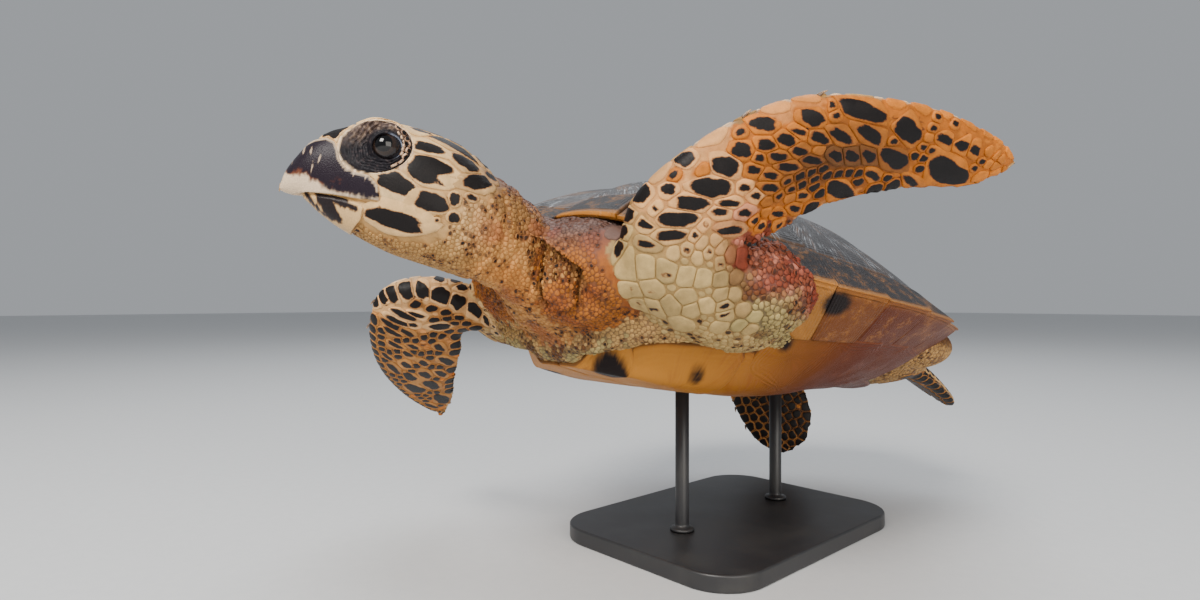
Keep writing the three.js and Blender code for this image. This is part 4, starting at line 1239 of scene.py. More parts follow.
for i in chosen:
    size = spacing[i] * rng.uniform(*bead_half)
    ahead_on = np.cross(dart_out[i], (0.3, 0.2, 1) if limb_dart[i] else (0.15, 1, 0.1))
    cluster = noise.noise(Vector(darts[i] * (0.1, 0.06, 0.1)))
    chance = 0.08 + 0.55 * float(ease(0.05, 0.4, cluster))
    if limb_dart[i] and not ventral_face(dart_part[i:i + 1], dart_angle[i:i + 1])[0]:
        chance = 0.75
    keep_scale(at=tuple(darts[i]), out=tuple(dart_out[i]), along=tuple(unit(ahead_on)),
               half=(size * 1.15, size * 0.9), tone=own_ground, border=0.3,
               dark=float(rng.random() < chance) * rng.uniform(0.5, 1), patch=no_patch,
               lift=0.42 if near[i] < 0.3 else 0.8, reach=1.15)

# each scale grows until it meets its neighbours, so its outline is what the lines half way to them leave
at, out, along, half, tone, patch, border, dark, lift, reach = (
    np.array(scales[key], float) for key in scale_keys)
total = len(at)
across = np.cross(out, along)
scale_part, scale_u, scale_angle = whereabouts(at)
tone = np.where(tone[:, :1] < 0, ground_tone(at, out, scale_part, scale_u, scale_angle), tone)
tone *= rng.normal(1, 0.09, (total, 1)).clip(0.75, 1.25)
chance_value = rng.random(total)
root_tree = tree_of(at)
near_count = 18  # neighbours that bound a scale
seam_power = 14.0  # how sharp its corners are
outline_points = 64
turns = np.arange(outline_points) * (2 * math.pi / outline_points)
outline = np.empty((total, outline_points), np.float32)


def ellipse(half, turn):
    return half[:, :1] * half[:, 1:] / np.hypot(half[:, 1:] * np.cos(turn), half[:, :1] * np.sin(turn))


for low in range(0, total, 2000):
    group = np.arange(low, min(low + 2000, total))
    found = np.array([[i for _, i, _ in root_tree.find_n(at[g], near_count)] for g in group])
    offset = at[found] - at[group][:, None]
    x = (offset * along[group][:, None]).sum(-1)
    y = (offset * across[group][:, None]).sum(-1)
    flat = np.hypot(x, y)
    far = np.maximum(np.linalg.norm(offset, axis=-1), 1e-3)
    facing = (out[found] * out[group][:, None]).sum(-1)
    turn = np.arctan2(y, x)
    mine = ellipse(half[group], turn)
    ox, oy = -(offset * along[found]).sum(-1), -(offset * across[found]).sum(-1)
    theirs = ellipse(half[found].reshape(-1, 2), np.arctan2(oy, ox).reshape(-1, 1)).reshape(turn.shape)
    seam = np.minimum(0.16, mine * 0.08)
    halfway = far * mine / (mine + theirs) - seam
    counts = (found != group[:, None]) & (facing > -0.3) & (flat > 0.15 * far)
    halfway = np.where(counts, np.maximum(halfway, 0.3), 1e3)
    # the line between two scales is square to neither, but to the mean of the ways in which both grow
    hx, hy = half[group][:, :1], half[group][:, 1:]
    grow_x, grow_y = x / hx**2, y / hy**2
    there = (ox / half[found][..., 0] ** 2)[..., None] * along[found] + (
        oy / half[found][..., 1] ** 2)[..., None] * across[found]
    back_x, back_y = -(there * along[group][:, None]).sum(-1), -(there * across[group][:, None]).sum(-1)
    mean_x = grow_x / np.hypot(grow_x, grow_y).clip(1e-9) + back_x / np.hypot(back_x, back_y).clip(1e-9)
    mean_y = grow_y / np.hypot(grow_x, grow_y).clip(1e-9) + back_y / np.hypot(back_x, back_y).clip(1e-9)
    normal_turn = np.arctan2(mean_y, mean_x)
    halfway = halfway * np.cos(normal_turn - turn).clip(0.25)
    turn = normal_turn
    pull = np.maximum(np.cos(turns[None, None, :] - turn[:, :, None]), 0) / halfway[:, :, None]
    own = 1 / (ellipse(half[group], turns[None, :]) * reach[group][:, None])
    outline[group] = ((pull**seam_power).sum(1) + own**seam_power) ** (-1 / seam_power)


# no scale reaches over the pale line round an orbit, nor over the horn of the beak
_, root_ahead, root_up = to_head(at)
clipped = np.nonzero((scale_part == 0) & (root_ahead > 36) & (reach > 1))[0]
for low in range(0, len(clipped), 400):
    group = clipped[low:low + 400]
    open_yet = np.ones((len(group), outline_points), bool)
    allowed = np.zeros((len(group), outline_points))
    for step in np.linspace(0.1, 1, 14):
        flat = outline[group] * step
        spot = (at[group][:, None] + along[group][:, None] * (flat * np.cos(turns))[..., None]
                + across[group][:, None] * (flat * np.sin(turns))[..., None])
        landed = np.array([hide_tree.find_nearest(point)[0] for point in spot.reshape(-1, 3).tolist()])
        _, spot_ahead, spot_up = to_head(landed)
        spot_lid = lid_share(spot_ahead, spot_up)[0]
        middle_lid = np.repeat(lid_share(root_ahead[group], root_up[group])[0], outline_points)
        beyond = np.where(middle_lid > 1, spot_lid < 1.07, spot_lid > 0.985)
        beyond |= (inside_shape(upper_shape, spot_ahead, spot_up) > -0.7) | (
            inside_shape(lower_shape, spot_ahead, spot_up) > -0.5)
        open_yet &= ~beyond.reshape(len(group), outline_points)
        allowed = np.where(open_yet, step, allowed)
    outline[group] *= np.maximum(allowed, 0.12)


def outline_at(which, turn):
    step = (turn % (2 * math.pi)) / (2 * math.pi) * outline_points
    low = np.floor(step).astype(int)
    share = step - low
    after = outline[which, (low + 1) % outline_points]
    return outline[which, low % outline_points] * (1 - share) + after * share


def marking(which, x, y):
    """(how far inside the dark part, how dark, one random value) at a place on a scale, in millimetres."""
    reach = np.maximum(outline_at(which, np.arctan2(y, x)), 0.05)
    rim = (1 - np.hypot(x, y) / reach) * reach
    px, py, ha, hb, notch = patch[which].T
    oval = (np.abs((x - px) / ha) ** 2.6 + np.abs((y - py) / hb) ** 2.6) ** (1 / 2.6)
    inside = (1 - oval) * np.minimum(ha, hb)
    phase = chance_value[which] * 40
    around = np.arctan2(y / hb, x / ha)
    wave = (0.6 * np.sin(3 * around + phase) + 0.4 * np.sin(5 * around + 1.7 * phase)
            + 0.3 * np.sin(8 * around + phase))
    inside += 0.13 * wave * np.minimum(np.minimum(ha, hb), 8)
    side_sign = np.where(np.sum(across[which] * head_axes[:, 2], axis=-1) > 0, 1, -1)
    bite = np.hypot((x - ha * 0.75) / 1.9, y * side_sign + hb * 0.35) - notch
    inside = np.where(notch > 0, np.minimum(inside, bite), inside)
    return np.minimum(rim - border[which], inside), dark[which], chance_value[which]


def root_place(part, u, angle):
    """The root's place on the unwrapped body: every body run has its own tile."""
    return np.stack([(part % 4 + 0.04 + 0.92 * u) / 4,
                     (part // 4 + 0.04 + 0.92 * angle / (2 * math.pi)) / 4], -1)


def give_layers(mesh, layers):
    """Writes point attributes: the tone as a colour, everything else as a vector."""
    for layer, values in layers.items():
        kind, field = "FLOAT_VECTOR", "vector"
        if layer == "tone":
            kind, field = "FLOAT_COLOR", "color"
            values = np.concatenate([values, np.ones((len(values), 1))], 1)
        mesh.attributes.new(layer, kind, "POINT").data.foreach_set(field, values.astype(np.float32).ravel())


def joined(name, points, loops, sizes, layers, place, material):
    """One mesh from arrays: corner indices, face sizes, attributes, and each point's place on the unwrap."""
    mesh = bpy.data.meshes.new(name)
    mesh.vertices.add(len(points))
    mesh.vertices.foreach_set("co", np.asarray(points, np.float32).ravel())
    mesh.loops.add(len(loops))
    mesh.loops.foreach_set("vertex_index", loops.astype(np.int32))
    mesh.polygons.add(len(sizes))
    mesh.polygons.foreach_set("loop_start", np.concatenate([[0], np.cumsum(sizes)[:-1]]).astype(np.int32))
    mesh.polygons.foreach_set("loop_total", sizes.astype(np.int32))
    mesh.polygons.foreach_set("use_smooth", np.ones(len(sizes), bool))
    mesh.update(calc_edges=True)
    give_layers(mesh, layers)
    mesh.uv_layers.new(name="OFBake").data.foreach_set("uv", np.asarray(place[loops], np.float32).ravel())
    mesh.validate()
    mesh.materials.append(material)
    made = bpy.data.objects.new(name, mesh)
    bpy.context.scene.collection.objects.link(made)
    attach(made, "root")
    return made


def maths(tree, operation, a, b=0.0, clamp=False):
    return add(tree, "Math", {"operation": operation, "use_clamp": clamp}, _0=a, _1=b).outputs[0]


def times(tree, a, b):
    return maths(tree, "MULTIPLY", a, b)


def plus(tree, a, b):
    return maths(tree, "ADD", a, b)


def pattern_group(name, **inputs):
    """A node group with these inputs, which puts out a colour, a roughness and a height."""
    group = bpy.data.node_groups.new(name, "ShaderNodeTree")
    outputs = {"Color": "Color", "Roughness": "Float", "Height": "Float"}
    for way, sockets in (("INPUT", inputs), ("OUTPUT", outputs)):
        for socket, kind in sockets.items():
            group.interface.new_socket(socket.replace("_", " "), in_out=way, socket_type="NodeSocket" + kind)
    return group, group.nodes.new("NodeGroupInput").outputs, group.nodes.new("NodeGroupOutput").inputs


def patterned(name, roughness, pattern, attributes, relief, **sockets):
    """A material that follows a pattern group, fed by the mesh's attributes and its place on the model."""
    made, tree, shader = material_named(name, roughness, **sockets)
    group = tree.nodes.new("ShaderNodeGroup")
    group.node_tree = pattern
    for attribute in attributes:
        field = "Color" if attribute == "tone" else "Vector"
        read = add(tree, "Attribute", {"attribute_name": attribute}).outputs[field]
        tree.links.new(read, group.inputs[attribute.capitalize()])
    tree.links.new(add(tree, "TexCoord").outputs["Object"], group.inputs["Place"])
    tree.links.new(group.outputs["Color"], shader.inputs["Base Color"])
    tree.links.new(group.outputs["Roughness"], shader.inputs["Roughness"])
    bump(tree, shader, group.outputs["Height"], relief)
    return made, group.inputs


def scale_group():
    """A scale or bare skin: its ground colour, a dark patch with a red-brown edge, fine mottling."""
    group, given, result = pattern_group("marked hide", Tone="Color", Mark="Vector", Place="Vector")
    parts = add(group, "SeparateXYZ", None, Vector=given["Mark"]).outputs
    ragged = noise_of(group, given["Place"], 900.0, 3.0)
    coarse = noise_of(group, given["Place"], 160.0, 3.0)
    fine = noise_of(group, given["Place"], 2600.0, 2.0)
    edge = plus(group, parts[0], times(group, maths(group, "SUBTRACT", ragged, 0.5), 1.1))
    edge = plus(group, edge, times(group, maths(group, "SUBTRACT", coarse, 0.5), 1.2))
    brown = times(group, steps(group, edge, -0.55, 0.1), parts[1])
    black = times(group, steps(group, edge, -0.1, 0.4), parts[1])
    value = ranged(group, coarse, 0.8, 1.14, 0.3, 0.7)
    value = times(group, value, ranged(group, fine, 0.9, 1.08, 0.3, 0.7))
    ground = add(group, "VectorMath", {"operation": "SCALE"}, Vector=given["Tone"], Scale=value).outputs[0]
    tinted = blend_colour(group, times(group, brown, 0.75), ground, (0.16, 0.045, 0.014, 1))
    night = blend_colour(group, coarse, (0.0035, 0.003, 0.0035, 1), (0.010, 0.007, 0.0065, 1))
    colour = blend_colour(group, black, tinted, night)
    group.links.new(colour, result["Color"])
    rough = ranged(group, fine, 0.46, 0.68)
    group.links.new(maths(group, "SUBTRACT", rough, times(group, black, 0.12)), result["Roughness"])
    height = plus(group, times(group, ragged, 0.6), times(group, fine, 0.4))
    group.links.new(height, result["Height"])
    return group


marked_hide = scale_group()


def hide_material(name, relief, coat):
    made, _ = patterned(name, 0.58, marked_hide, ("tone", "mark"), relief,
                        Coat_Weight=coat, Coat_Roughness=0.35, Specular_IOR_Level=0.16)
    return made


def template(around, rings):
    """Face corners of one scale: a centre, rings of points, the last ring closed underneath."""
    corners, sizes = [], []
    for k in range(around):
        corners += [0, 1 + k, 1 + (k + 1) % around]
        sizes.append(3)
    for ring in range(rings - 1):
        for k in range(around):
            here, after = 1 + ring * around + k, 1 + ring * around + (k + 1) % around
            corners += [here, here + around, after + around, after]
            sizes.append(4)
    corners += [1 + (rings - 1) * around + k for k in reversed(range(around))]
    sizes.append(around)
    return np.array(corners), np.array(sizes)


def coat_of(which, around, rings, drape):
    """Scales as arrays: rings are (share of the outline, height).

    Draped scales follow the hide under every point, and small ones stand flat on their roots.
    """
    n = len(which)
    turn = np.arange(around) * (2 * math.pi / around)
    spread = outline_at(np.repeat(which, around), np.tile(turn, n)).reshape(n, 1, around)
    share = np.array([ring[0] for ring in rings])[None, :, None]
    x = np.concatenate([np.zeros((n, 1)), (spread * share * np.cos(turn)).reshape(n, -1)], 1)
    y = np.concatenate([np.zeros((n, 1)), (spread * share * np.sin(turn)).reshape(n, -1)], 1)
    high = np.concatenate([[rings[0][1]], np.repeat([ring[1] for ring in rings], around)])[None, :]
    stay = np.concatenate([[1.0], np.repeat([1.0 if ring[1] > 0 else 0 for ring in rings], around)])[None, :]
    high = np.where(stay > 0, high * lift[which][:, None], high)
    base = at[which][:, None] + along[which][:, None] * x[..., None] + across[which][:, None] * y[..., None]
    if drape:
        flat = base.reshape(-1, 3)
        found = [hide_tree.find_nearest(point) for point in flat.tolist()]
        landed = np.array([f[0] for f in found]).reshape(base.shape)
        facing = np.array([f[1] for f in found]).reshape(base.shape)
        facing = unit(facing * 0.5 + out[which][:, None] * 0.5)
        points = landed + facing * high[..., None]
    else:
        points = base + out[which][:, None] * high[..., None]
    every = np.repeat(which, x.shape[1])
    mark = np.stack(marking(every, x.ravel(), y.ravel()), -1)
    root = root_place(scale_part[which], scale_u[which], scale_angle[which])
    widest = outline[which].max(1)[:, None, None]
    place = root[:, None] + np.stack([x, y], -1) / (2 * widest) * 0.003
    corners, sizes = template(around, len(rings))
    step = x.shape[1]
    loops = (corners[None] + (np.arange(n) * step)[:, None]).ravel()
    return points.reshape(-1, 3), loops, np.tile(sizes, n), mark, tone[every], place.reshape(-1, 2)


big_from, mid_from = 6.5, 3.2  # half widths from which a scale has more points
big_rings = [(0.4, 1.0), (0.72, 0.98), (0.88, 0.88), (0.96, 0.62), (1.0, 0.2), (0.97, -0.7)]
mid_rings = [(0.55, 0.98), (0.85, 0.85), (1.0, 0.3), (0.94, -0.6)]
bead_rings = [(0.66, 0.96), (0.94, 0.62), (1.0, -0.5)]
widest = outline.max(1)
scale_material = hide_material("scale_coat", 0.00025, 0.03)
for number, name in enumerate(run_names):
    batches = []
    here = scale_part == number
    for chosen, around, rings, drape in (
            (here & (widest > big_from), 36, big_rings, True),
            (here & (widest <= big_from) & (widest > mid_from), 18, mid_rings, True),
            (here & (widest <= mid_from), 8, bead_rings, False)):
        if chosen.any():
            batches.append(coat_of(np.nonzero(chosen)[0], around, rings, drape))
    if not batches:
        continue
    points, loops, sizes, mark, colour, place = zip(*batches)
    before = np.cumsum([0] + [len(batch) for batch in points])
    loops = [corners + held for corners, held in zip(loops, before)]
    joined("scales_" + name, on_stand(np.vstack(points)), np.concatenate(loops), np.concatenate(sizes),
           {"tone": np.vstack(colour), "mark": np.vstack(mark)}, np.vstack(place), scale_material)

# the skin carries the same ground colour and markings as the scales that are rooted in it
skin_part, skin_u, skin_angle = whereabouts(hide)
skin_tone = ground_tone(hide, hide_out, skin_part, skin_u, skin_angle)
close = np.array([[i for _, i, _ in root_tree.find_n(point, 4)] for point in hide])
best_share = np.full(len(hide), 9.0)
_, hide_ahead, hide_up = to_head(hide)
on_lids = (skin_part == 0) & (hide_ahead > 40) & (lid_share(hide_ahead, hide_up)[0] < 1.05)
skin_mark = np.tile([-3.0, 0, 0.5], (len(hide), 1))
for k in range(4):
    which = close[:, k]
    offset = hide - at[which]
    x, y = (offset * along[which]).sum(1), (offset * across[which]).sum(1)
    share_of = np.hypot(x, y) / np.maximum(outline_at(which, np.arctan2(y, x)), 0.05)
    better = (share_of < best_share) & ((hide_out * out[which]).sum(1) > 0.2) & (share_of < 1.6) & ~on_lids
    best_share = np.where(better, share_of, best_share)
    skin_mark = np.where(better[:, None], np.stack(marking(which, x, y), -1), skin_mark)
    on_limb = (scale_part[which] < 5)[:, None]
    seam_tone = np.where(on_limb, tone[which] * (0.8, 0.74, 0.68), mixed(tone[which] * 0.7, plum, 0.3))
    skin_tone = np.where(better[:, None], seam_tone, skin_tone)
mesh = skin.data
put_points(mesh, on_stand(hide))
give_layers(mesh, {"tone": skin_tone, "mark": skin_mark})
mesh.materials.clear()
mesh.materials.append(hide_material("bare_skin", 0.0003, 0.04))
for face in mesh.polygons:
    face.use_smooth = True
flesh_nodes = ["head", "neck", "trunk", "tail"] + [
    f"{name}_{piece}" for name in limb_rows
    for piece in (("arm", "blade") if name.startswith("front") else ("thigh", "foot"))]
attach(skin, "root")
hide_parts(*flesh_nodes)

# ---- carapace ----
# The upper shell's horn scutes, five down the back and four on each side, of worn dark horn with
# amber rays. Each overlaps the next one behind and is raised at its rear edge.
inner = 0.84
overlap = 4.5
scute_thickness = 4.4
slate = np.array([0.030, 0.028, 0.030])
amber = np.array([0.50, 0.21, 0.045])


def horn_group():
    """A horn plate: rays from its growth centre, growth lines near its rim, scuffs and blotches."""
    group, given, result = pattern_group("horn plate", Tone="Color", Ray_Color="Color", Rays="Float",
                                         Scuffs="Float", Ray="Vector", Plate="Vector", Place="Vector")
    plate = add(group, "SeparateXYZ", None, Vector=given["Plate"]).outputs
    ray = add(group, "SeparateXYZ", None, Vector=given["Ray"]).outputs
    shift = times(group, plate[1], 37.0)

    def along_rays(fan, run):
        x = times(group, ray[0], fan)
        y = times(group, ray[1], fan)
        z = plus(group, times(group, ray[2], run), shift)
        return add(group, "CombineXYZ", None, X=x, Y=y, Z=z).outputs[0]

    broad = noise_of(group, along_rays(3.2, 1.3), 1.0, 4.0, 0.6)
    fine_ray = noise_of(group, along_rays(16.0, 2.6), 1.0, 4.0, 0.65)
    hair = noise_of(group, along_rays(60.0, 7.0), 1.0, 3.0, 0.7)
    cloud = noise_of(group, given["Place"], 38.0, 5.0, 0.6)
    grain = noise_of(group, given["Place"], 1500.0, 3.0)
    rays = times(group, steps(group, broad, 0.47, 0.66), steps(group, fine_ray, 0.38, 0.62))
    colour = blend_colour(group, times(group, rays, given["Rays"]), given["Tone"], given["Ray Color"])
    rim = times(group, steps(group, plate[0], 2.6, 0.2), times(group, given["Rays"], 0.8))
    colour = blend_colour(group, rim, colour, given["Ray Color"])
    scuff = times(group, steps(group, hair, 0.52, 0.68), steps(group, cloud, 0.40, 0.62))
    scuff = times(group, scuff, given["Scuffs"])
    colour = blend_colour(group, scuff, colour, (0.44, 0.48, 0.53, 1))
    blotch = plus(group, plate[2], maths(group, "SUBTRACT", fine_ray, 0.5))
    stain = steps(group, blotch, -0.5, 0.6)
    colour = blend_colour(group, stain, colour, (0.014, 0.010, 0.010, 1))
    # darker in a band about a millimetre wide along each plate's rim
    rim_darkening = times(group, steps(group, plate[0], 1.1, 0.1), 0.65)
    colour = blend_colour(group, rim_darkening, colour, (0.03, 0.018, 0.012, 1))
    group.links.new(colour, result["Color"])
    lines = maths(group, "SINE", plus(group, times(group, plate[0], 2.3), times(group, cloud, 9.0)))
    lines = times(group, lines, steps(group, plate[0], 16.0, 1.5))
    height = plus(group, times(group, lines, 0.28), times(group, hair, 0.35))
    height = plus(group, height, times(group, fine_ray, 0.8))
    group.links.new(plus(group, height, times(group, grain, 0.12)), result["Height"])
    rough = ranged(group, cloud, 0.34, 0.54, 0.3, 0.7)
    group.links.new(plus(group, rough, times(group, scuff, 0.25)), result["Roughness"])
    return group


horn_plate = horn_group()


def horn_material(name, ray_colour, rays, scuffs, relief, coat, gloss=0.25):
    made, pattern = patterned(name, 0.4, horn_plate, ("tone", "ray", "plate"), relief,
                              Coat_Weight=coat, Coat_Roughness=0.25, Specular_IOR_Level=gloss)
    pattern["Ray Color"].default_value = ray_colour
    pattern["Rays"].default_value = rays
    pattern["Scuffs"].default_value = scuffs
    return made


def rounded(outline, count, cuts=3):
    """A closed outline with its corners cut round, as evenly spaced points, widdershins."""
    points = np.array(outline, float)
    turned = np.roll(points, -1, axis=0)
    if (points[:, 0] * turned[:, 1] - turned[:, 0] * points[:, 1]).sum() < 0:
        points = points[::-1]
    dense = []
    for a, b in zip(points, np.roll(points, -1, axis=0)):
        pieces = max(1, int(np.linalg.norm(b - a) / 9))
        dense += [a + (b - a) * k / pieces for k in range(pieces)]
    points = np.array(dense)
    for _ in range(cuts):
        after = np.roll(points, -1, axis=0)
        points = np.stack([points * 0.75 + after * 0.25, points * 0.25 + after * 0.75], 1).reshape(-1, 2)
    closed = np.vstack([points, points[:1]])
    run = np.concatenate([[0], np.cumsum(np.linalg.norm(np.diff(closed, axis=0), axis=1))])
    at_run = np.linspace(0, run[-1], count, endpoint=False)
    return np.stack([np.interp(at_run, run, closed[:, i]) for i in (0, 1)], -1)


def carapace_z(x, y):
    return dome_z(*place_in_plan(x, y))


def scute(outline, growth, surface, face, lift, tone, keel=0.0, blotch=None, rows=26, around=128, ahead=1.0):
    """A horn plate as one closed body over a curved surface; lift is its rise in front and behind."""
    line = rounded(outline, around)
    way = np.roll(line, -1, axis=0) - np.roll(line, 1, axis=0)
    outwards = unit(np.stack([way[:, 1], -way[:, 0]], -1))
    rearwards = np.clip(outwards[:, 1], -1, 1)
    line = line + outwards * np.where(rearwards > 0, overlap * rearwards, ahead * -rearwards - 0.2)[:, None]
    growth = np.array(growth, float)
    low, high = line[:, 1].min(), line[:, 1].max()
    closed = np.vstack([line, line[:1]])
    turns = np.linspace(0, 2 * math.pi, around + 1)

    def place(v, angle):
        edge = np.stack([np.interp(angle, turns, closed[:, i]) for i in (0, 1)], -1)
        s = 1 - np.abs(2 * v - 1) ** 1.9
        xy = growth + (edge - growth) * s[:, None]
        rear = np.clip((xy[:, 1] - low) / (high - low), 0, 1)
        rise = lift[0] + (lift[1] - lift[0]) * rear**1.4
        half = scute_thickness / 2 * np.sqrt(np.clip(1 - s**26, 0, 1))
        mid = surface(xy[:, 0], xy[:, 1]) + face * (rise - scute_thickness / 2)
        ridge = keel * np.exp(-((xy[:, 0] / 10) ** 2)) * (0.35 + 0.65 * rear)
        z = mid + face * np.where(v >= 0.5, half + ridge, -half)
        return np.column_stack([xy, z])

    bm, points, v, angle = ringed(place, rows * 2, around, evenly=True)
    s = 1 - np.abs(2 * v - 1) ** 1.9
    edge = np.stack([np.interp(angle, turns, closed[:, i]) for i in (0, 1)], -1)
    spread = np.linalg.norm(edge - growth, axis=1)
    heading = unit(edge - growth)
    chance = rng.random()
    ray = np.column_stack([heading * (spread / 60)[:, None], s])
    inside = -9.0
    if blotch is not None:
        inside = (blotch[2] - np.hypot(points[:, 0] - blotch[0], points[:, 1] - blotch[1])) / 6
    plate = np.column_stack([(1 - s) * spread, np.full(len(s), chance), np.broadcast_to(inside, len(s))])
    colour = tone(points) if callable(tone) else np.tile(tone, (len(points), 1))
    return bm, points, {"ray": ray, "plate": plate, "tone": colour}


def horn_piece(name, bodies, material, replaced):
    """Bodies of horn joined in one piece, with their attributes."""
    joined_bm = bmesh.new()
    layers = {}
    for bm, points, values in bodies:
        for vert, point in zip(bm.verts, on_stand(points)):
            vert.co = point
        bmesh.ops.recalc_face_normals(bm, faces=bm.faces)
        join_to(joined_bm, bm)
        for layer, value in values.items():
            layers.setdefault(layer, []).append(value)
    made = finished(name, joined_bm, material, replaced)
    give_layers(made.data, {layer: np.vstack(parts) for layer, parts in layers.items()})
    return made


shell_horn = horn_material("shell_horn", (*amber, 1), 0.2, 1.0, 0.0009, 0.15)
seam_y = [-0.272, -0.09, 0.098, 0.27]
seam_half = [0.068, 0.066, 0.062, 0.055]
corner_y = [-0.35, -0.178, 0.006, 0.186, 0.345]
corner_half = [0.118, 0.128, 0.13, 0.118, 0.1]
seam_round = [0.055, 0.162, 0.243, 0.322, 0.452]


def edge_row(start, end):
    return [tuple(plan(inner + 0.012, start + (end - start) * k / 8)) for k in range(9)]


def in_millimetres(points):
    return [(x * shell_length, y * shell_length) for x, y in points]


for i in range(5):
    left = [(seam_half[i - 1], seam_y[i - 1])] if i > 0 else []
    left += [(corner_half[i], corner_y[i])]
    left += [(seam_half[i], seam_y[i])] if i < 4 else []
    left = in_millimetres(left)
    nose = edge_row(-seam_round[0], seam_round[0]) if i == 0 else []
    tail_edge = edge_row(seam_round[4], 1 - seam_round[4]) if i == 4 else []
    outline = nose + left + tail_edge + [(-x, y) for x, y in reversed(left)]
    ys = [y for _, y in outline]
    growth = (0, min(ys) + 0.68 * (max(ys) - min(ys)))
    body = scute(outline, growth, carapace_z, 1, (0.2, 2.6), slate, keel=1.6)
    horn_piece(f"vertebral_plate_{i + 1}", [body], shell_horn, [f"vertebral_scute_{i + 1}"])
for i in range(4):
    outline = in_millimetres([(corner_half[i + 1], corner_y[i + 1]), (seam_half[i], seam_y[i]),
                              (corner_half[i], corner_y[i])]) + edge_row(seam_round[i], seam_round[i + 1])
    middle_of = np.mean(rounded(outline, 40), axis=0)
    growth = middle_of + (-0.16 * np.ptp([x for x, _ in outline]), 0.14 * np.ptp([y for _, y in outline]))
    for flank, side_name in ((1, "left"), (-1, "right")):
        turned = [(x * flank, y) for x, y in outline]
        body = scute(turned, growth * (flank, 1), carapace_z, 1, (0.1, 2.3), slate)
        horn_piece(f"costal_plate_{side_name}_{i + 1}", [body], shell_horn,
                   [f"costal_scute_{side_name}_{i + 1}"])

# ---- marginals and nuchal ----
# The rim's row of scutes, of the same horn, folded over the edge from the top to the underside.
# Each ends behind in a point of the saw edge, and one nuchal plate closes the row in front.
margin_horn = horn_material("margin_horn", (*amber, 1), 0.35, 0.18, 0.0008, 0.0, 0.1)
marginal_folds = [0.05, 0.123, 0.197, 0.27, 0.343, 0.417] + [k / 12 for k in range(6, 13)]


def folded_plate(u, angle, around):
    """A plate folded over the rim: (share of the way out, top, underside, roundness of edge and end)."""
    w = (1 - np.cos(angle)) / 2
    share = inner - 0.012 + (1.012 - inner) * w
    over = dome_z(share, around) - 1.4 * ease(0.3, 0.0, w)
    under = np.minimum(margin_under(np.maximum(share, inner + 0.004), around), over - 2.4)
    edge_round = np.sqrt(np.clip(1 - w**14, 0, 1)) * np.sqrt(np.clip(1 - (1 - w) ** 40, 0, 1))
    end_round = np.sqrt(np.clip(1 - np.abs(2 * u - 1) ** 40, 0, 1))
    return share, over, under, edge_round, end_round


def marginal(flank, start, end):
    """One folded scute between two places along the rim: over the top, round the edge and back."""
    def place(u, angle):
        top = angle <= math.pi
        along_rim = start + (end - start) * (u * 1.03 - 0.01)
        around = along_rim / 2 if flank > 0 else 1 - along_rim / 2
        saw = 0.05 * np.clip((along_rim - 0.45) / 0.3, 0, 1) * (np.clip(u, 0, 1) - 0.5)
        share, over, under, edge_round, end_round = folded_plate(u, angle, around)
        rise = 1.9 * u**1.5 - 0.4
        half = (over - under) / 2 + rise / 2
        mid = (over + under) / 2 + rise / 2
        z = mid + np.where(top, 1, -1) * half * edge_round * end_round
        reach = share * (1 + saw * np.clip((share - 0.9) / 0.1, 0, 1)) + 0.004 * u
        centre = inner + 0.5 * (1 - inner)
        reach = centre + (reach - centre) * (0.25 + 0.75 * end_round)
        return np.column_stack([plan(reach, around), z])

    bm, points, u, angle = ringed(place, 44, 72)
    w = (1 - np.cos(angle)) / 2
    under = (angle > math.pi).astype(float)
    length = (end - start) * 720
    edge = np.minimum(np.minimum(u, 1 - u) * length, (w + 0.02) * 80)
    edge = np.minimum(edge, np.where(w > 0.9, 1.2 + (w - 0.9) * 40, 1e3))
    chance = rng.random()
    ray = np.column_stack([(u - 0.9) * 1.3, (w - 0.1) * 1.0, np.hypot(u - 0.9, w - 0.1)])
    share_along = (start + end) / 2
    blotch = (14 - np.linalg.norm((points - (flank * 159, -106, -3)) * (1, 0.85, 1.1), axis=1)) / 4
    blotch = np.where(under > 0, blotch, -9)
    rear = ease(0.28, 0.42, share_along)
    warm = mixed((0.34, 0.145, 0.030), (0.105, 0.024, 0.008), rear)
    lower = np.tile(warm, (len(u), 1))
    lower = mixed(lower, (0.48, 0.18, 0.03), ease(0.8, 1.0, w) * (0.8 - 0.4 * rear))
    upper = mixed(np.tile(slate, (len(u), 1)), amber, 0.55 * ease(0.86, 1.0, w))
    tone = np.where(under[:, None] > 0, lower, upper)
    return bm, points, {"ray": ray, "plate": np.column_stack([edge, np.full(len(u), chance), blotch]),
                        "tone": tone}


for flank, side_name in ((1, "left"), (-1, "right")):
    bodies = [marginal(flank, a, b) for a, b in zip(marginal_folds[:-1], marginal_folds[1:])]
    horn_piece(f"marginal_plates_{side_name}", bodies, margin_horn, [f"marginals_{side_name}"])


def nuchal_place(u, angle):
    around = -0.0255 + 0.051 * u
    share, over, under, edge_round, end_round = folded_plate(u, angle, around)
    z = (over + under) / 2 + np.where(angle <= math.pi, 1, -1) * (over - under) / 2 * edge_round * end_round
    return np.column_stack([plan(share, around), z])


bm, points, u, angle = ringed(nuchal_place, 44, 72)
w = (1 - np.cos(angle)) / 2
edge = np.minimum(np.minimum(u, 1 - u) * 72, (w + 0.02) * 80)
nuchal = (bm, points, {
    "ray": np.column_stack([u - 0.5, w - 0.2, w]), "tone": np.tile(slate, (len(u), 1)),
    "plate": np.column_stack([edge, np.full(len(u), 0.3), np.full(len(u), -9.0)])})
horn_piece("nuchal_plate", [nuchal], margin_horn, ["nuchal_scute"])

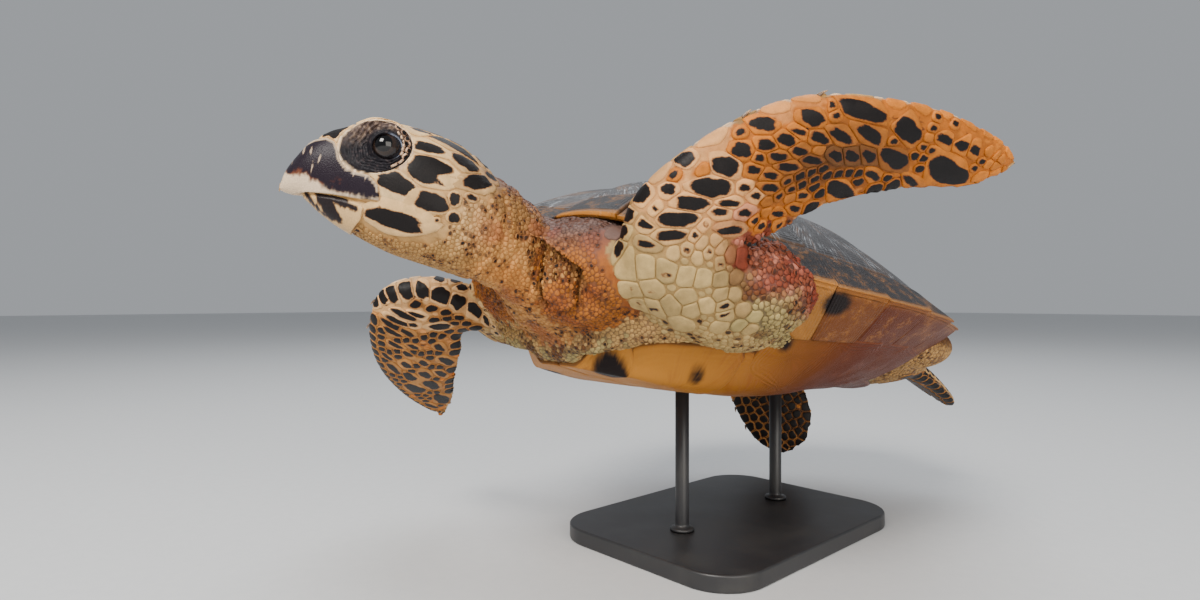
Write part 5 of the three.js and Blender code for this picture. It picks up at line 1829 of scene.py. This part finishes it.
# ---- plastron and bridges ----
# The belly's horn: six pairs of plates, amber in front and maroon brown behind, and four small
# ones out to each rim. They lie on the underside that the hide is drawn on to.
belly_horn = horn_material("belly_horn", (0.24, 0.07, 0.018, 1), 0.45, 0.02, 0.0006, 0.0, 0.08)
seams = [(-204, -203), (-168, -190), (-112, -128), (-38, -30), (34, 38), (104, 124), (177, 177)]
dark_plates = {(0, 1): (40, -186, 14), (1, 1): (84, -146, 5), (1, -1): (-60, -164, 13),
               (2, -1): (-82, -92, 13)}


def belly_tone(points):
    back = ease(-150, 20, points[:, 1] + 0.4 * np.abs(points[:, 0]))
    return mixed((0.46, 0.19, 0.030), (0.105, 0.022, 0.007), back)


bodies = []
for k, (front_seam, rear_seam) in enumerate(zip(seams[:-1], seams[1:])):
    for flank in (1, -1):
        edge_y = np.linspace(rear_seam[1], front_seam[1], 7)
        outline = [(0.4, front_seam[0]), (0.4, rear_seam[0])]
        outline += [(float(np.interp(y, plastron_y, plastron_x)) + 24 * float(ease(-60, -105, y)), y)
                    for y in edge_y]
        outline = [(x * flank, y) for x, y in outline]
        middle_of = np.mean(rounded(outline, 40), axis=0)
        bodies.append(scute(outline, middle_of + (0, 6), belly_plate_z, -1, (0.2, 1.5), belly_tone,
                            blotch=dark_plates.get((k, flank)), rows=16, around=96))
horn_piece("plastron_plates", bodies, belly_horn, ["plastron"])
for flank, side_name in ((1, "left"), (-1, "right")):
    bodies = []
    for k in range(4):
        y0, y1 = -116 + 45 * k, -71 + 45 * k
        a0, a1 = 0.152 + 0.0425 * k, 0.1945 + 0.0425 * k
        outline = [(103, y1), (103, y0)] + [tuple(plan(inner + 0.02, a0 + (a1 - a0) * j / 4))
                                            for j in range(5)]
        outline = [(x * flank, y) for x, y in outline]
        middle_of = np.mean(rounded(outline, 40), axis=0)
        spot = (middle_of[0] + 4 * flank, middle_of[1] - 12, 5) if k == 0 else None
        bodies.append(scute(outline, middle_of, belly_plate_z, -1, (0.4, 1.6), belly_tone, blotch=spot,
                            rows=14, around=80))
    horn_piece(f"bridge_plates_{side_name}", bodies, belly_horn, [f"bridge_{side_name}"])

# ---- beak ----
# Two sheaths of horn grown over the jaws. The upper one is hooked and near black, with pale
# streaks and a cream cutting edge, and the lower one is cream with dark streaks.
def sheath(shape, back, proud):
    def place(u, angle):
        ahead = back + (head_length - back) * u
        flat = head_surface(ahead, angle, 0.0)
        side, ahead_at, up = to_head(flat)
        depth = inside_shape(shape, ahead_at, up)
        grow = -3.2 + (3.2 + proud) * ease(-1.3, 0.3, depth)
        return head_surface(ahead, angle, grow)
    return place


def beak_material():
    made, tree, shader = material_named("beak_horn", 0.38, Coat_Weight=0.0, Coat_Roughness=0.25,
                                        Specular_IOR_Level=0.14)
    tone_at = add(tree, "Attribute", {"attribute_name": "tone"}).outputs["Color"]
    place = add(tree, "TexCoord").outputs["Object"]
    fine = noise_of(tree, place, 1200.0, 3.0)
    value = ranged(tree, fine, 0.86, 1.1, 0.3, 0.7)
    colour = add(tree, "VectorMath", {"operation": "SCALE"}, Vector=tone_at, Scale=value).outputs[0]
    tree.links.new(colour, shader.inputs["Base Color"])
    rough = ranged(tree, noise_of(tree, place, 120.0), 0.24, 0.42)
    tree.links.new(rough, shader.inputs["Roughness"])
    bump(tree, shader, fine, 0.00018)
    return made


beak_horn = beak_material()


def streaked(points, upper):
    side, ahead, up = to_head(points)
    flank = np.sign(side) * 40
    upright = np.stack([ahead * 0.42, up * 0.07, flank], -1)
    streak = noise_at(upright, 1.0) + 0.5 * noise_at(upright * 2.3, 1.0, 7.0)
    mottle = noise_at(np.stack([ahead, up, flank], -1), 0.16, 3.0) + 0.5 * noise_at(
        np.stack([ahead, up, flank], -1), 0.5, 1.0)
    ivory = np.array([0.66, 0.50, 0.34])
    if upper:
        edge = np.interp(ahead, [66, 79, 93, 108, 119, 126], [-28.4, -28.9, -28.4, -28.6, -30.4, -31])
        band = np.interp(ahead, [66, 79, 88, 95, 102, 109, 114, 120, 124],
                         [0.4, 0.9, 1.7, 2.6, 4.8, 8, 8.5, 9, 15])
        rise = up - edge
        fade = ease(band + 2.2, band - 1.2, rise + 1.8 * streak + 2.6 * mottle)
        tone = mixed(np.tile([0.016, 0.011, 0.017], (len(points), 1)), np.array([0.13, 0.040, 0.020]),
                     0.9 * ease(band + 4.5, band, rise + 6 * mottle) * ease(78, 92, ahead))
        tone = mixed(tone, mixed((0.4, 0.28, 0.2), ivory, 0.5),
                     0.8 * ease(0.42, 0.56, streak) * ease(-0.15, 0.15, mottle))
        tone = mixed(tone, ivory, fade)
        border = inside_shape(upper_shape, ahead, up)
        return mixed(tone, ivory, 0.8 * ease(1.3, 0.5, border) * (up > -24))
    tone = np.tile(mixed(cream, sand, 0.35), (len(points), 1))
    dark_streaks = [([(109, -28), (103.6, -34.5), (97, -39.7), (86, -43.7)], 0.9),
                    ([(98, -27), (94.5, -34.5), (87, -42)], 4.6),
                    ([(92, -29), (86, -32), (78.3, -35.2)], 3.0)]
    shade = np.zeros(len(points))
    for line, half in dark_streaks:
        far, _ = from_line(np.array(line), ahead, up)
        narrow = half * np.clip(0.3 + 1.1 * (ahead - line[-1][0]) / (line[0][0] - line[-1][0]), 0.3, 1.1)
        shade = np.maximum(shade, ease(narrow + 0.7, narrow - 0.5, far + 1.3 * streak))
    tone = mixed(tone, (0.2, 0.07, 0.03), ease(0.02, 0.5, shade) * 0.6)
    return mixed(tone, (0.016, 0.011, 0.012), shade)


for name, shape, back, proud, upper, node in (("upper_sheath", upper_shape, 60, 0.75, True, "upper_beak"),
                                              ("lower_sheath", lower_shape, 68, 0.35, False, "lower_jaw")):
    bm, points, u, angle = ringed(sheath(shape, back, proud), 200, 190)
    horn_piece(name, [(bm, points, {"tone": streaked(points, upper)})], beak_horn, [node])

# ---- eyes ----
# Glass eyes set behind the lids: dark glossy balls, each with a black pupil in a nearly black
# brown iris.


def eye_material():
    made, tree, shader = material_named("eye", 0.08, Coat_Weight=0.35, Coat_Roughness=0.02,
                                        Specular_IOR_Level=0.3)
    look = add(tree, "Attribute", {"attribute_name": "iris"}).outputs["Vector"]
    parts = add(tree, "SeparateXYZ", None, Vector=look).outputs
    wheel = add(tree, "CombineXYZ", None, X=times(tree, parts[1], 9.0),
                Y=times(tree, parts[2], 9.0), Z=times(tree, parts[0], 0.02)).outputs[0]
    streaks = noise_of(tree, wheel, 2.0, 3.0)
    iris = blend_colour(tree, streaks, (0.010, 0.006, 0.005, 1), (0.034, 0.020, 0.014, 1))
    colour = blend_colour(tree, steps(tree, parts[0], 29.0, 32.0), (0.001, 0.001, 0.0015, 1), iris)
    colour = blend_colour(tree, steps(tree, parts[0], 42.0, 47.0), colour, (0.012, 0.010, 0.011, 1))
    tree.links.new(colour, shader.inputs["Base Color"])
    return made


eye_gloss = eye_material()
for flank, side_name in ((1, "left"), (-1, "right")):
    bm = bmesh.new()
    bmesh.ops.create_uvsphere(bm, u_segments=96, v_segments=64, radius=1)
    gaze = unit(np.array([flank, -0.22, 0.06]))
    ball_points = np.array([vert.co for vert in bm.verts])
    turn = np.degrees(np.arccos(np.clip(ball_points @ gaze, -1, 1)))
    bulge = ball_radius + 0.55 * np.exp(-((turn / 30) ** 2))
    local = ball_points * bulge[:, None] + (flank * eye_middle[1], -eye_middle[0], eye_middle[2])
    side_way = unit(np.cross(gaze, (0, 0, 1)))
    wheel = np.column_stack([turn, ball_points @ side_way, ball_points @ np.cross(side_way, gaze)])
    horn_piece(f"eyeball_{side_name}", [(bm, local @ head_axes.T + nape, {"iris": wheel})], eye_gloss,
               [f"eye_{side_name}"])

# ---- claws ----
# Two short curved cones of horn on the leading edge of every flipper, rooted in the skin and
# paler towards the tip.
claw_length = 6.5
claw_radius = 1.5
claw_shares = {"front": (0.5, 0.6), "hind": (0.62, 0.76)}


def claw_material():
    made, tree, shader = material_named("claw_horn", 0.35, Coat_Weight=0.3, Coat_Roughness=0.2)
    along_claw = add(tree, "Attribute", {"attribute_name": "run"}).outputs["Vector"]
    parts = add(tree, "SeparateXYZ", None, Vector=along_claw).outputs
    place = add(tree, "TexCoord").outputs["Object"]
    fine = noise_of(tree, place, 1400.0, 3.0)
    colour = blend_colour(tree, steps(tree, parts[0], 0.35, 0.8), (0.07, 0.035, 0.02, 1),
                          (0.40, 0.22, 0.09, 1))
    colour = blend_colour(tree, times(tree, fine, 0.5), colour, (0.3, 0.19, 0.1, 1))
    tree.links.new(colour, shader.inputs["Base Color"])
    bump(tree, shader, fine, 0.00012)
    return made


claw_horn = claw_material()
for name, rows in limb_rows.items():
    form = through(rows)
    for number, share_at in enumerate(claw_shares[name.split("_")[0]]):
        here, beyond = form([share_at])[0], form([share_at + 0.05])[0]
        outwards = unit(here[:3] - here[3:6])
        forwards = unit(beyond[:3] - here[:3])
        way = unit(0.75 * outwards + forwards)
        bend = unit(forwards - way * (forwards @ way))
        other = np.cross(way, bend)

        def place(v, turn):
            taper = np.clip(1 - v, 0, 1) ** 0.7 * np.clip(v / 0.06, 0, 1) ** 0.5
            centre = here[:3] + way * ((v - 0.4) * claw_length)[:, None] + bend * (1.8 * v**2 - 0.3)[:, None]
            return (centre + bend * (claw_radius * taper * np.cos(turn))[:, None]
                    + other * (claw_radius * 0.8 * taper * np.sin(turn))[:, None])

        bm, points, v, turn = ringed(place, 28, 24, evenly=True)
        claw = (bm, points, {"run": np.column_stack([v, v, v])})
        horn_piece(f"{name}_nail_{number + 1}", [claw], claw_horn,
                   [f"{name}_claw_{number + 1}"])
